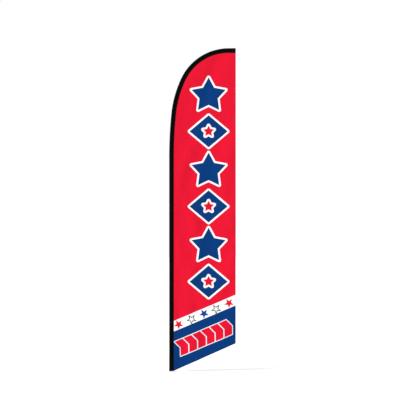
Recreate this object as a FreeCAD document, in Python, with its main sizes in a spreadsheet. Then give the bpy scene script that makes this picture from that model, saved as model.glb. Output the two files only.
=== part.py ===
import FreeCAD, Part
import math
import os

import Sketcher

# Feather flag on a pole: a tall cloth flag whose black sleeve runs over a sectional pole.  The pole
# turns freely on a fixed spindle socket and bends over at its top to hold the flag's head out.
#
# Frame, in millimetres: +Z up; the origin is on the pole's axis at the mouth of the socket's bore;
# the flag stands out from the pole towards +X and its printed face looks towards -Y.

doc = FreeCAD.newDocument("feather_flag")

# ---------------------------------------------------------------------------------------------
# Driving dimensions
# ---------------------------------------------------------------------------------------------
DIMENSIONS = {
    # line of the sleeve: straight up, three bends that tighten, and a level run to the fly edge
    "flag_bottom": 5.0,
    "sleeve_straight": 2430.0,
    "sleeve_bend_one": 4900.0,
    "sleeve_bend_two": 1220.0,
    "sleeve_bend_three": 580.0,
    "turn_one": 5.7,
    "turn_two": 19.5,
    "turn_three": 64.8,
    "sleeve_top_run": 38.0,
    # line of the pole: it lies nearer to the sleeve's outer side as its sections get thinner
    "pole_straight": 2437.0,
    "pole_bend_one": 4980.0,
    "pole_bend_two": 1192.0,
    "pole_bend_three": 583.0,
    # cross-section of the sleeve
    "sleeve_inner": 15.5,
    "sleeve_wall": 1.0,
    "cavity_end": 32.3,
    "slot_end": 33.2,
    "seam_end": 35.5,
    "seam_half": 1.35,
    "slot_half": 0.35,
    "cuff_height": 154.7,
    "cloth_gap": 0.3,
    "notch_width": 13.0,
    "notch_height": 16.0,
    "pocket_wall": 2.5,
    # flag cloth
    "panel_edge": 34.2,
    "panel_thick": 0.4,
    "hem_width": 14.0,
    "hem_thick": 1.2,
    "fly_edge": 737.5,
    "fly_low": 317.0,
    # fixed spindle socket
    "bore_radius": 8.0,
    "bore_depth": 120.0,
    "flange_radius": 15.0,
    "flange_thick": 4.0,
    "spindle_radius": 10.0,
    "spindle_height": 155.0,
    "spindle_chamfer": 1.0,
    "groove_low": 147.0,
    "groove_high": 148.4,
    "groove_depth": 1.0,
    "ring_radius": 11.8,
    "ring_thick": 1.2,
    "ring_mouth": 12.0,
    "washer_thick": 2.0,
    # bushes between the spindle and the lowest tube
    "running_gap": 0.05,
    "collar_radius": 14.0,
    "collar_low": 6.05,
    "collar_thick": 6.95,
    "foot_bush_length": 34.0,
    "top_bush_low": 126.0,
    "top_bush_length": 20.0,
    # retaining hook on the foot bush, and the eyelet that it holds
    "peg_radius": 2.5,
    "peg_height": 9.5,
    "peg_reach": 24.0,
    "lip_thick": 2.5,
    "lip_drop": 2.6,
    "eyelet_hole": 5.0,
    "eyelet_radius": 8.0,
    "eyelet_height": 11.9,
    "eyelet_flange": 0.5,
    "tab_radius": 10.0,
    "tab_height": 62.0,
    "tab_front": 16.9,
    "tab_thick": 1.4,
    # aluminium tubes
    "tube_radius": 14.0,
    "tube_wall": 1.5,
    "section_length": 802.0,
    "fit_gap": 0.1,
    "joiner_length": 200.0,
    "joiner_wall": 2.0,
    # rivets
    "rivet_radius": 2.0,
    "rivet_hole": 2.1,
    "rivet_inner": 10.6,
    "rivet_head": 3.5,
    "rivet_head_thick": 1.0,
    "foot_rivet": 26.0,
    # snap buttons and their springs
    "button_radius": 3.5,
    "button_hole": 3.6,
    "button_top": 16.5,
    "button_dome": 1.2,
    "button_flange": 4.6,
    "button_seat": 9.3,
    "button_back": 8.2,
    "spring_reach": 7.9,
    "spring_leg": 45.0,
    "spring_above": 8.0,
    "spring_width": 8.0,
    "spring_thick": 0.6,
    # glass-fibre sections
    "composite_radius": 8.0,
    "composite_bore": 6.0,
    "composite_insert": 90.0,
    "ferrule_bore": 8.2,
    "ferrule_spigot": 80.0,
    "ferrule_taper": 6.0,
    "ferrule_rim": 9.8,
    "ferrule_rivet": 40.0,
    "tip_plug_radius": 5.7,
    "tip_plug_length": 24.0,
    "tip_plug_bore": 4.3,
    "tip_collar": 14.0,
    "tip_collar_chamfer": 2.0,
    "rod_radius": 4.0,
    "rod_insert": 60.0,
    "rod_top_run": 52.0,
    "cap_radius": 7.0,
    "cap_length": 26.0,
    "cap_bore": 4.1,
    "cap_depth": 20.0,
    "cap_round": 4.0,
}

dims = doc.addObject("Spreadsheet::Sheet", "dims")
for row, (alias, value) in enumerate(DIMENSIONS.items(), start=1):
    dims.set(f"A{row}", alias)
    dims.set(f"B{row}", str(value))
    dims.setAlias(f"B{row}", alias)
doc.recompute()

TUBE_START = "(dims.collar_low + dims.collar_thick)"
FIRST_BREAK = f"({TUBE_START} + dims.section_length)"
SECOND_BREAK = f"({TUBE_START} + 2 * dims.section_length)"
TUBE_END = f"({TUBE_START} + 3 * dims.section_length)"
TUBE_BORE = "(dims.tube_radius - dims.tube_wall)"
SPIGOT = f"({TUBE_BORE} - dims.fit_gap)"
BUSH_BORE = "(dims.spindle_radius + dims.running_gap)"
TOP_BUSH_RIVET = "(dims.top_bush_low + dims.top_bush_length / 2)"
FERRULE_RIVET = f"({TUBE_END} - dims.ferrule_rivet)"
SIDE_CUT = "(1.5 * dims.tube_radius)"     # reaches from the pole's axis out through any wall
HALF_TURN = "180"

SMALLEST_CUT = 0.5          # cubic millimetres that a cut has to take away
SWEEP_TOLERANCE = 0.001     # share by which a sweep's volume may be off

subparts = []


# ---------------------------------------------------------------------------------------------
# Helpers
# ---------------------------------------------------------------------------------------------
def value_of(expression):
    """The number that an expression of the sheet's cells gives."""
    result = dims.evalExpression(str(expression))
    return float(getattr(result, "Value", result))


def new_body(label):
    """A sub-part made of PartDesign features."""
    body = doc.addObject("PartDesign::Body", label)
    body.Label = label
    subparts.append(body)
    return body


def place(part, x="0", y="0", z="0"):
    """Moves a sub-part, or a primitive, to a point given by expressions."""
    for axis, expression in (("x", x), ("y", y), ("z", z)):
        part.setExpression(f"Placement.Base.{axis}", expression)


def new_sketch(body, name, role):
    """A sketch on one of the body's own origin planes."""
    sketch = body.newObject("Sketcher::SketchObject", name)
    plane = next(item for item in body.Origin.OriginFeatures if item.Role == role)
    sketch.AttachmentSupport = [(plane, "")]
    sketch.MapMode = "FlatFace"
    return sketch


def dimension(sketch, name, expression, kind, *where):
    """Adds a driving constraint bound to an expression; angles are in degrees."""
    value = value_of(expression)
    if kind == "Angle":
        value = math.radians(value)
        expression = f"({expression}) * 1 deg"
    number = sketch.addConstraint(Sketcher.Constraint(kind, *where, value))
    sketch.renameConstraint(number, name)
    sketch.setExpression(f"Constraints.{name}", expression)


def pin_point(sketch, name, geometry, end, across, up):
    """Holds a point of the sketch at the place given by two expressions."""
    if value_of(across) == 0:
        sketch.addConstraint(Sketcher.Constraint("PointOnObject", geometry, end, -2))
    else:
        dimension(sketch, f"{name}_across", across, "DistanceX", -1, 1, geometry, end)
    if value_of(up) == 0:
        sketch.addConstraint(Sketcher.Constraint("PointOnObject", geometry, end, -1))
    else:
        dimension(sketch, f"{name}_up", up, "DistanceY", -1, 1, geometry, end)


def polygon(sketch, name, corners):
    """A closed outline of straight lines; each corner is a pair of expressions."""
    places = [FreeCAD.Vector(value_of(across), value_of(up), 0) for across, up in corners]
    first = sketch.GeometryCount
    for index, start in enumerate(places):
        end = places[(index + 1) % len(places)]
        sketch.addGeometry(Part.LineSegment(start, end), False)
    for index, (across, up) in enumerate(corners):
        previous = first + (index - 1) % len(corners)
        sketch.addConstraint(Sketcher.Constraint("Coincident", previous, 2, first + index, 1))
        pin_point(sketch, f"{name}{index}", first + index, 1, across, up)


def circle(sketch, name, radius, across="0", up="0"):
    """A circle of the given radius about a point."""
    centre = FreeCAD.Vector(value_of(across), value_of(up), 0)
    shape = Part.Circle(centre, FreeCAD.Vector(0, 0, 1), value_of(radius))
    geometry = sketch.addGeometry(shape, False)
    dimension(sketch, f"{name}_radius", radius, "Radius", geometry)
    pin_point(sketch, name, geometry, 3, across, up)


def pad(body, name, sketch, length, both_ways=False, downwards=False):
    """Pads a sketch: away from its plane, towards its back, or equally both ways."""
    feature = body.newObject("PartDesign::Pad", name)
    feature.Profile = sketch
    feature.setExpression("Length", length)
    feature.Midplane = both_ways
    feature.Reversed = downwards
    return feature


def cut(body, name, sketch, length, reversed_cut):
    """Pockets a sketch, and checks that it took something away."""
    doc.recompute()
    before = body.Shape.Volume
    feature = body.newObject("PartDesign::Pocket", name)
    feature.Profile = sketch
    feature.setExpression("Length", length)
    feature.Reversed = reversed_cut
    doc.recompute()
    if body.Shape.Volume > before - SMALLEST_CUT:
        raise RuntimeError(f"{body.Label}: {name} cuts nothing")


def turn(body, name, corners):
    """Revolves a half-section, given as (radius, height) corners, about the body's Z axis."""
    sketch = new_sketch(body, f"{name}_section", "XZ_Plane")
    polygon(sketch, "corner", corners)
    feature = body.newObject("PartDesign::Revolution", name)
    feature.Profile = sketch
    feature.ReferenceAxis = (sketch, ["V_Axis"])
    feature.Angle = 360
    return feature


def tube(body, name, outer, inner, length):
    """A round tube that stands on the body's XY plane."""
    sketch = new_sketch(body, f"{name}_section", "XY_Plane")
    circle(sketch, "outside", outer)
    circle(sketch, "bore", inner)
    return pad(body, name, sketch, length)


def side_hole(body, name, radius, height):
    """Drills a round hole through the wall on the +X side."""
    sketch = new_sketch(body, f"{name}_place", "YZ_Plane")
    circle(sketch, "hole", radius, "0", height)
    cut(body, name, sketch, SIDE_CUT, True)


def path(body, runs):
    """A path in the XZ plane that starts at the body's origin, heading up, and bends towards +X.

    A run is ("line", length) or ("bend", radius, turn in degrees)."""
    sketch = new_sketch(body, "route", "XZ_Plane")
    x, z, heading = 0.0, 0.0, 0.0
    joint = (-1, 1)
    for index, (kind, *sizes) in enumerate(runs):
        if kind == "line":
            length = value_of(sizes[0])
            start = FreeCAD.Vector(x, z, 0)
            x += length * math.sin(heading)
            z += length * math.cos(heading)
            sketch.addGeometry(Part.LineSegment(start, FreeCAD.Vector(x, z, 0)), False)
            near, far = 1, 2
            dimension(sketch, f"length{index}", sizes[0], "Distance", index, 1, index, 2)
        else:
            radius = value_of(sizes[0])
            turned = math.radians(value_of(sizes[1]))
            centre_x = x + radius * math.cos(heading)
            centre_z = z - radius * math.sin(heading)
            ring = Part.Circle(FreeCAD.Vector(centre_x, centre_z, 0), FreeCAD.Vector(0, 0, 1), radius)
            arc = Part.ArcOfCircle(ring, math.pi - heading - turned, math.pi - heading)
            sketch.addGeometry(arc, False)
            heading += turned
            x = centre_x - radius * math.cos(heading)
            z = centre_z + radius * math.sin(heading)
            near, far = 2, 1
            dimension(sketch, f"radius{index}", sizes[0], "Radius", index)
            dimension(sketch, f"turn{index}", sizes[1], "Angle", index)
        if index:
            sketch.addConstraint(Sketcher.Constraint("Tangent", *joint, index, near))
        else:
            sketch.addConstraint(Sketcher.Constraint("Coincident", index, near, *joint))
            if kind == "line":
                sketch.addConstraint(Sketcher.Constraint("Vertical", index))
            else:
                sketch.addConstraint(Sketcher.Constraint("PointOnObject", index, 3, -1))
        joint = (index, far)
    return sketch


def sweep(body, name, section, route):
    """Sweeps a section along a route, and compares the volume with what the two should give."""
    doc.recompute()
    feature = body.newObject("PartDesign::AdditivePipe", name)
    feature.Profile = section
    feature.Spine = (route, [f"Edge{number + 1}" for number in range(len(route.Shape.Edges))])
    doc.recompute()
    face = Part.makeFace(section.Shape, "Part::FaceMakerBullseye")
    bends = [edge for edge in route.Shape.Edges if hasattr(edge.Curve, "Radius")]
    turned = sum(edge.Length / edge.Curve.Radius for edge in bends)
    expected = face.Area * (route.Shape.Length - turned * face.CenterOfMass.x)
    if abs(feature.Shape.Volume / expected - 1) > SWEEP_TOLERANCE:
        raise RuntimeError(f"{body.Label}: {name} has the wrong volume")


def along(prefix, stage, back="0", level_run="0"):
    """Point and heading on the line of the sleeve or of the pole.

    stage is how many bends lie behind the point; back is a length by which the point lies before
    the end of the last of them; level_run is a length past it."""
    x, z, heading = 0.0, value_of(f"dims.{prefix}_straight"), 0.0
    for number, word in enumerate(("one", "two", "three"), start=1):
        if number > stage:
            break
        radius = value_of(f"dims.{prefix}_bend_{word}")
        turned = math.radians(value_of(f"dims.turn_{word}"))
        if number == stage:
            turned -= value_of(back) / radius
        x += radius * (math.cos(heading) - math.cos(heading + turned))
        z += radius * (math.sin(heading + turned) - math.sin(heading))
        heading += turned
    x += value_of(level_run) * math.sin(heading)
    z += value_of(level_run) * math.cos(heading)
    return x, z, heading


def place_along(part, prefix, stage, back="0", level_run="0"):
    """Puts a sub-part on the line, with its own Z axis along it and its own X axis inwards."""
    x, z, heading = along(prefix, stage, back, level_run)
    turned = FreeCAD.Rotation(FreeCAD.Vector(0, 1, 0), math.degrees(heading))
    part.Placement = FreeCAD.Placement(FreeCAD.Vector(x, 0, z), turned)


def sleeve_section(body, name):
    """Cross-section of the sleeve: a teardrop round the pole, its tail sewn over the flag's edge."""
    sketch = new_sketch(body, name, "XY_Plane")
    inner = value_of("dims.sleeve_inner")
    outer = inner + value_of("dims.sleeve_wall")
    seam = value_of("dims.seam_end")
    half = value_of("dims.seam_half")
    slot = value_of("dims.slot_half")
    slot_end = value_of("dims.slot_end")
    cavity_end = value_of("dims.cavity_end")

    def touch(radius, x, y):
        """Angle, seen from the centre, at which the line from (x, y) touches the round."""
        return math.atan2(y, x) + math.acos(radius / math.hypot(x, y))

    def loop(radius, tail):
        """The round with its two tangents; tail is the list of corners from the upper tangent."""
        first = sketch.GeometryCount
        angle = touch(radius, *tail[0])
        centre = FreeCAD.Vector(0, 0, 0)
        ring = Part.Circle(centre, FreeCAD.Vector(0, 0, 1), radius)
        sketch.addGeometry(Part.ArcOfCircle(ring, angle, 2 * math.pi - angle), False)
        upper = FreeCAD.Vector(radius * math.cos(angle), radius * math.sin(angle), 0)
        lower = FreeCAD.Vector(upper.x, -upper.y, 0)
        corners = [upper] + [FreeCAD.Vector(x, y, 0) for x, y in tail] + [lower]
        for start, end in zip(corners, corners[1:]):
            sketch.addGeometry(Part.LineSegment(start, end), False)
        last = sketch.GeometryCount - 1
        sketch.addConstraint(Sketcher.Constraint("Coincident", first, 3, -1, 1))
        sketch.addConstraint(Sketcher.Constraint("Tangent", first, 1, first + 1, 1))
        for index in range(first + 1, last):
            sketch.addConstraint(Sketcher.Constraint("Coincident", index, 2, index + 1, 1))
        sketch.addConstraint(Sketcher.Constraint("Tangent", last, 2, first, 2))
        return first

    first = loop(outer, [(seam, half), (seam, slot), (slot_end, slot), (slot_end, -slot),
                         (seam, -slot), (seam, -half)])
    dimension(sketch, "outside", "dims.sleeve_inner + dims.sleeve_wall", "Radius", first)
    corners = [("dims.seam_end", "dims.seam_half"), ("dims.seam_end", "dims.slot_half"),
               ("dims.slot_end", "dims.slot_half"), ("dims.slot_end", "-dims.slot_half"),
               ("dims.seam_end", "-dims.slot_half"), ("dims.seam_end", "-dims.seam_half")]
    for index, (across, up) in enumerate(corners):
        pin_point(sketch, f"tail{index}", first + 2 + index, 1, across, up)
    first = loop(inner, [(cavity_end, 0.0)])
    dimension(sketch, "cavity", "dims.sleeve_inner", "Radius", first)
    pin_point(sketch, "cavity_tip", first + 2, 1, "dims.cavity_end", "0")
    return sketch


# ---------------------------------------------------------------------------------------------
# Fixed foot: socket, washer and retaining ring
# ---------------------------------------------------------------------------------------------
def make_spindle_socket():
    """Turned socket: a blind bore for the base's spindle, and a groove for the retaining ring."""
    body = new_body("spindle_socket")
    neck = "dims.spindle_radius - dims.groove_depth"
    turn(body, "turned_socket", [
        ("dims.bore_radius", "0"),
        ("dims.flange_radius", "0"),
        ("dims.flange_radius", "dims.flange_thick"),
        ("dims.spindle_radius", "dims.flange_thick"),
        ("dims.spindle_radius", "dims.groove_low"),
        (neck, "dims.groove_low"),
        (neck, "dims.groove_high"),
        ("dims.spindle_radius", "dims.groove_high"),
        ("dims.spindle_radius", "dims.spindle_height - dims.spindle_chamfer"),
        ("dims.spindle_radius - dims.spindle_chamfer", "dims.spindle_height"),
        ("0", "dims.spindle_height"),
        ("0", "dims.bore_depth"),
        ("dims.bore_radius", "dims.bore_depth"),
    ])


def make_thrust_washer():
    """Plain washer between the socket's flange and the foot bush."""
    body = new_body("thrust_washer")
    tube(body, "disc", "dims.collar_radius", BUSH_BORE, "dims.washer_thick")
    place(body, z="dims.flange_thick")


def make_retaining_ring():
    """An open spring ring in the spindle's groove, which keeps the pole from lifting off."""
    body = new_body("retaining_ring")
    inner = "dims.spindle_radius - dims.groove_depth + dims.running_gap"
    tube(body, "ring", "dims.ring_radius", inner, "dims.ring_thick")
    sketch = new_sketch(body, "mouth_outline", "XY_Plane")
    half = "dims.ring_mouth / 2"
    polygon(sketch, "mouth", [("0", half), ("0", f"-{half}"), ("2 * dims.ring_radius", f"-{half}"),
                              ("2 * dims.ring_radius", half)])
    cut(body, "mouth", sketch, "2 * dims.ring_thick", True)
    place(body, z="(dims.groove_low + dims.groove_high - dims.ring_thick) / 2")


# ---------------------------------------------------------------------------------------------
# Bushes
# ---------------------------------------------------------------------------------------------
def make_foot_bush():
    """Flanged bush at the pole's foot; its hook holds the flag's retaining tab down."""
    body = new_body("foot_bush")
    turn(body, "turned_bush", [
        (BUSH_BORE, "0"),
        ("dims.collar_radius", "0"),
        ("dims.collar_radius", "dims.collar_thick"),
        (SPIGOT, "dims.collar_thick"),
        (SPIGOT, "dims.foot_bush_length"),
        (BUSH_BORE, "dims.foot_bush_length"),
    ])
    peg_up = "dims.peg_height - dims.collar_low"
    peg = new_sketch(body, "peg_section", "XZ_Plane")
    circle(peg, "peg", "dims.peg_radius", "0", peg_up)
    pad(body, "peg", peg, "dims.peg_reach", downwards=True)
    lip = new_sketch(body, "lip_outline", "XZ_Plane")
    lip.AttachmentOffset = FreeCAD.Placement(FreeCAD.Vector(0, 0, -value_of("dims.peg_reach")),
                                             FreeCAD.Rotation())
    low = f"{peg_up} - dims.peg_radius - dims.lip_drop"
    high = f"{peg_up} + dims.peg_radius"
    polygon(lip, "lip", [("-dims.peg_radius", low), ("dims.peg_radius", low),
                         ("dims.peg_radius", high), ("-dims.peg_radius", high)])
    pad(body, "lip", lip, "dims.lip_thick")
    bore = new_sketch(body, "bore_outline", "XY_Plane")
    circle(bore, "bore", BUSH_BORE)
    cut(body, "spindle_clearance", bore, "dims.foot_bush_length", True)
    side_hole(body, "rivet_hole", "dims.rivet_hole", "dims.foot_rivet - dims.collar_low")
    place(body, z="dims.collar_low")


def make_top_bush():
    """Plain bush inside the lowest tube, near the top of the spindle."""
    body = new_body("top_bush")
    tube(body, "bush", SPIGOT, BUSH_BORE, "dims.top_bush_length")
    side_hole(body, "rivet_hole", "dims.rivet_hole", "dims.top_bush_length / 2")
    place(body, z="dims.top_bush_low")


# ---------------------------------------------------------------------------------------------
# Aluminium tubes and their joiners
# ---------------------------------------------------------------------------------------------
def make_tube(label, start, rivets, button):
    """One tube of the pole; rivets and button are heights in the flag's own frame."""
    body = new_body(label)
    tube(body, "tube", "dims.tube_radius", TUBE_BORE, "dims.section_length")
    for number, height in enumerate(rivets):
        side_hole(body, f"rivet_hole{number}", "dims.rivet_hole", f"{height} - {start}")
    if button:
        side_hole(body, "button_hole", "dims.button_hole", f"{button} - {start}")
    place(body, z=start)


def make_joiner(label, joint):
    """Inner tube across a break of the pole: riveted below it, held by a snap button above it."""
    body = new_body(label)
    tube(body, "tube", SPIGOT, f"{SPIGOT} - dims.joiner_wall", "dims.joiner_length")
    side_hole(body, "rivet_hole", "dims.rivet_hole", "dims.joiner_length / 4")
    side_hole(body, "button_hole", "dims.button_hole", "dims.joiner_length * 3 / 4")
    place(body, z=f"{joint} - dims.joiner_length / 2")


def joiner_rivet(joint):
    """Height of the rivet below a break."""
    return f"({joint} - dims.joiner_length / 4)"


def joiner_button(joint):
    """Height of the snap button above a break."""
    return f"({joint} + dims.joiner_length / 4)"


def make_snap_button(label, joint):
    """Domed pin that stands out of the tube; a flange inside the joiner keeps it captive."""
    body = new_body(label)
    shoulder = "dims.button_top - dims.button_dome"
    turn(body, "turned_pin", [
        ("0", "dims.button_back"),
        ("dims.button_flange", "dims.button_back"),
        ("dims.button_flange", "dims.button_seat - dims.fit_gap"),
        ("dims.button_radius", "dims.button_seat - dims.fit_gap"),
        ("dims.button_radius", shoulder),
        ("dims.button_radius - dims.button_dome", "dims.button_top"),
        ("0", "dims.button_top"),
    ])
    sideways = FreeCAD.Rotation(FreeCAD.Vector(0, 1, 0), 90)
    body.Placement = FreeCAD.Placement(FreeCAD.Vector(0, 0, 0), sideways)
    place(body, z=joiner_button(joint))


def make_button_spring(label, joint):
    """Hairpin leaf spring inside the joiner, one leg behind the snap button."""
    body = new_body(label)
    route = path(body, [
        ("line", "dims.spring_leg"),
        ("bend", "dims.spring_reach", HALF_TURN),
        ("line", "dims.spring_leg"),
    ])
    section = new_sketch(body, "leaf_section", "XY_Plane")
    thick = "dims.spring_thick / 2"
    wide = "dims.spring_width / 2"
    polygon(section, "leaf", [(f"-{thick}", f"-{wide}"), (thick, f"-{wide}"), (thick, wide),
                              (f"-{thick}", wide)])
    sweep(body, "leaf", section, route)
    upside_down = FreeCAD.Rotation(FreeCAD.Vector(0, 1, 0), 180)
    body.Placement = FreeCAD.Placement(FreeCAD.Vector(0, 0, 0), upside_down)
    place(body, x="dims.spring_reach", z=f"{joiner_button(joint)} + dims.spring_above")


def make_rivets(label, heights):
    """Blind rivets in the tubes' +X side, one node."""
    rivets = []
    for number, height in enumerate(heights):
        shank = doc.addObject("Part::Cylinder", f"shank{number}")
        shank.setExpression("Radius", "dims.rivet_radius")
        overlap = "dims.rivet_head_thick / 2"
        shank.setExpression("Height", f"dims.tube_radius - dims.rivet_inner + {overlap}")
        head = doc.addObject("Part::Cone", f"head{number}")
        head.setExpression("Radius1", "dims.rivet_head")
        head.setExpression("Radius2", "dims.rivet_radius")
        head.setExpression("Height", "dims.rivet_head_thick")
        for piece, out in ((shank, "dims.rivet_inner"), (head, "dims.tube_radius")):
            piece.Placement.Rotation = FreeCAD.Rotation(FreeCAD.Vector(0, 1, 0), 90)
            place(piece, x=out, z=height)
        rivet = doc.addObject("Part::Fuse", f"rivet{number}")
        rivet.Base = shank
        rivet.Tool = head
        rivets.append(rivet)
    group = doc.addObject("Part::Compound", label)
    group.Label = label
    group.Links = rivets
    subparts.append(group)


# ---------------------------------------------------------------------------------------------
# Glass-fibre sections
# ---------------------------------------------------------------------------------------------
def make_composite_ferrule():
    """Plug in the top of the highest tube that grips the glass-fibre tube."""
    body = new_body("composite_ferrule")
    collar = f"(dims.pole_straight - {TUBE_END})"
    turn(body, "turned_ferrule", [
        ("dims.ferrule_bore", "-dims.ferrule_spigot"),
        (SPIGOT, "-dims.ferrule_spigot"),
        (SPIGOT, "0"),
        ("dims.tube_radius", "0"),
        ("dims.tube_radius", f"{collar} - dims.ferrule_taper"),
        ("dims.ferrule_rim", collar),
        ("dims.ferrule_bore", collar),
    ])
    side_hole(body, "rivet_hole", "dims.rivet_hole", "-dims.ferrule_rivet")
    place(body, z=TUBE_END)


def ring_section(body, outer, inner):
    """Round section of a swept tube, or of a rod where inner is None."""
    section = new_sketch(body, "section", "XY_Plane")
    circle(section, "outside", outer)
    if inner:
        circle(section, "bore", inner)
    return section


def make_composite_tube():
    """Bent glass-fibre tube: its foot in the ferrule, then the pole's first two bends."""
    body = new_body("composite_tube")
    route = path(body, [
        ("line", "dims.composite_insert"),
        ("bend", "dims.pole_bend_one", "dims.turn_one"),
        ("bend", "dims.pole_bend_two", "dims.turn_two"),
    ])
    sweep(body, "tube", ring_section(body, "dims.composite_radius", "dims.composite_bore"), route)
    place(body, z="dims.pole_straight - dims.composite_insert")


def make_tip_ferrule():
    """Plug in the end of the glass-fibre tube that holds the tip rod."""
    body = new_body("tip_ferrule")
    turn(body, "turned_plug", [
        ("dims.tip_plug_bore", "-dims.tip_plug_length"),
        ("dims.tip_plug_radius", "-dims.tip_plug_length"),
        ("dims.tip_plug_radius", "0"),
        ("dims.composite_radius", "0"),
        ("dims.composite_radius", "dims.tip_collar - dims.tip_collar_chamfer"),
        ("dims.composite_radius - dims.tip_collar_chamfer", "dims.tip_collar"),
        ("dims.tip_plug_bore", "dims.tip_collar"),
    ])
    place_along(body, "pole", 2)


def make_tip_rod():
    """Glass-fibre rod of the pole's last bend and its level run, its foot inside the tube."""
    body = new_body("tip_rod")
    insert_turn = "dims.rod_insert / dims.pole_bend_two * 180 / pi"
    route = path(body, [
        ("bend", "dims.pole_bend_two", insert_turn),
        ("bend", "dims.pole_bend_three", "dims.turn_three"),
        ("line", "dims.rod_top_run"),
    ])
    sweep(body, "rod", ring_section(body, "dims.rod_radius", None), route)
    place_along(body, "pole", 2, back="dims.rod_insert")


def make_tip_cap():
    """Soft cap on the rod's end, which spares the sleeve's pocket."""
    body = new_body("tip_cap")
    turn(body, "moulded_cap", [
        ("dims.cap_bore", "0"),
        ("dims.cap_radius", "0"),
        ("dims.cap_radius", "dims.cap_length - dims.cap_round"),
        ("dims.cap_radius - dims.cap_round", "dims.cap_length"),
        ("0", "dims.cap_length"),
        ("0", "dims.cap_depth"),
        ("dims.cap_bore", "dims.cap_depth"),
    ])
    place_along(body, "pole", 3, level_run="dims.rod_top_run + dims.fit_gap - dims.cap_depth")


# ---------------------------------------------------------------------------------------------
# Cloth
# ---------------------------------------------------------------------------------------------
def make_flag_panel():
    """The flag's cloth, flat, with its inner edge in the sleeve's seam and two hemmed edges."""
    body = new_body("flag_panel")
    outline = new_sketch(body, "outline", "XZ_Plane")
    edge = value_of("dims.panel_edge")
    fly = value_of("dims.fly_edge")
    low = value_of("dims.flag_bottom")
    straight = value_of("dims.sleeve_straight")
    outline.addGeometry(Part.LineSegment(FreeCAD.Vector(edge, low, 0),
                                         FreeCAD.Vector(edge, straight, 0)), False)
    pin_point(outline, "heel", 0, 1, "dims.panel_edge", "dims.flag_bottom")
    pin_point(outline, "shoulder", 0, 2, "dims.panel_edge", "dims.sleeve_straight")
    x, z, heading = edge, straight, 0.0
    joint = (0, 2)
    for index, word in enumerate(("one", "two", "three"), start=1):
        radius_words = f"dims.sleeve_bend_{word} - dims.panel_edge"
        radius = value_of(radius_words)
        turned = math.radians(value_of(f"dims.turn_{word}"))
        centre = FreeCAD.Vector(x + radius * math.cos(heading), z - radius * math.sin(heading), 0)
        ring = Part.Circle(centre, FreeCAD.Vector(0, 0, 1), radius)
        arc = Part.ArcOfCircle(ring, math.pi - heading - turned, math.pi - heading)
        outline.addGeometry(arc, False)
        outline.addConstraint(Sketcher.Constraint("Tangent", *joint, index, 2))
        dimension(outline, f"bend_{word}", radius_words, "Radius", index)
        dimension(outline, f"turn_{word}", f"dims.turn_{word}", "Angle", index)
        heading += turned
        x = centre.x - radius * math.cos(heading)
        z = centre.y + radius * math.sin(heading)
        joint = (index, 1)
    corner = FreeCAD.Vector(fly, z, 0)
    toe = FreeCAD.Vector(fly, value_of("dims.fly_low"), 0)
    outline.addGeometry(Part.LineSegment(FreeCAD.Vector(x, z, 0), corner), False)
    outline.addGeometry(Part.LineSegment(corner, toe), False)
    outline.addGeometry(Part.LineSegment(toe, FreeCAD.Vector(edge, low, 0)), False)
    outline.addConstraint(Sketcher.Constraint("Tangent", *joint, 4, 1))
    outline.addConstraint(Sketcher.Constraint("Coincident", 4, 2, 5, 1))
    outline.addConstraint(Sketcher.Constraint("Coincident", 5, 2, 6, 1))
    outline.addConstraint(Sketcher.Constraint("Coincident", 6, 2, 0, 1))
    outline.addConstraint(Sketcher.Constraint("Vertical", 5))
    pin_point(outline, "toe", 6, 1, "dims.fly_edge", "dims.fly_low")
    pad(body, "cloth", outline, "dims.panel_thick", both_ways=True)

    fly_hem = new_sketch(body, "fly_hem_outline", "XZ_Plane")
    hem_top = f"{along('sleeve', 3)[1]} - dims.seam_end - dims.cloth_gap"
    polygon(fly_hem, "fly", [
        ("dims.fly_edge - dims.hem_width", "dims.fly_low"),
        ("dims.fly_edge", "dims.fly_low"),
        ("dims.fly_edge", hem_top),
        ("dims.fly_edge - dims.hem_width", hem_top),
    ])
    pad(body, "fly_hem", fly_hem, "dims.hem_thick", both_ways=True)

    foot_hem = new_sketch(body, "foot_hem_outline", "XZ_Plane")
    start = "dims.seam_end + 2 * dims.cloth_gap"
    slope = "(dims.fly_low - dims.flag_bottom) / (dims.fly_edge - dims.panel_edge)"
    start_up = f"dims.flag_bottom + ({start} - dims.panel_edge) * {slope}"
    polygon(foot_hem, "foot", [
        (start, start_up),
        ("dims.fly_edge", "dims.fly_low"),
        ("dims.fly_edge", "dims.fly_low + dims.hem_width"),
        (start, f"{start_up} + dims.hem_width"),
    ])
    pad(body, "foot_hem", foot_hem, "dims.hem_thick", both_ways=True)


def make_pole_sleeve():
    """The sleeve from the cuff, round the three bends, to the pocket."""
    body = new_body("pole_sleeve")
    start = "(dims.flag_bottom + dims.cuff_height + dims.cloth_gap)"
    route = path(body, [
        ("line", f"dims.sleeve_straight - {start}"),
        ("bend", "dims.sleeve_bend_one", "dims.turn_one"),
        ("bend", "dims.sleeve_bend_two", "dims.turn_two"),
        ("bend", "dims.sleeve_bend_three", "dims.turn_three"),
        ("line", "dims.sleeve_top_run"),
    ])
    sweep(body, "sleeve", sleeve_section(body, "section"), route)
    place(body, z=start)


def make_foot_cuff():
    """Reinforced lower end of the sleeve, notched at the back for the hook."""
    body = new_body("foot_cuff")
    pad(body, "cuff", sleeve_section(body, "section"), "dims.cuff_height")
    notch = new_sketch(body, "notch_outline", "XZ_Plane")
    half = "dims.notch_width / 2"
    polygon(notch, "notch", [(f"-{half}", "0"), (half, "0"), (half, "dims.notch_height"),
                             (f"-{half}", "dims.notch_height")])
    cut(body, "notch", notch, "2 * dims.sleeve_inner", False)
    place(body, z="dims.flag_bottom")


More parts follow.
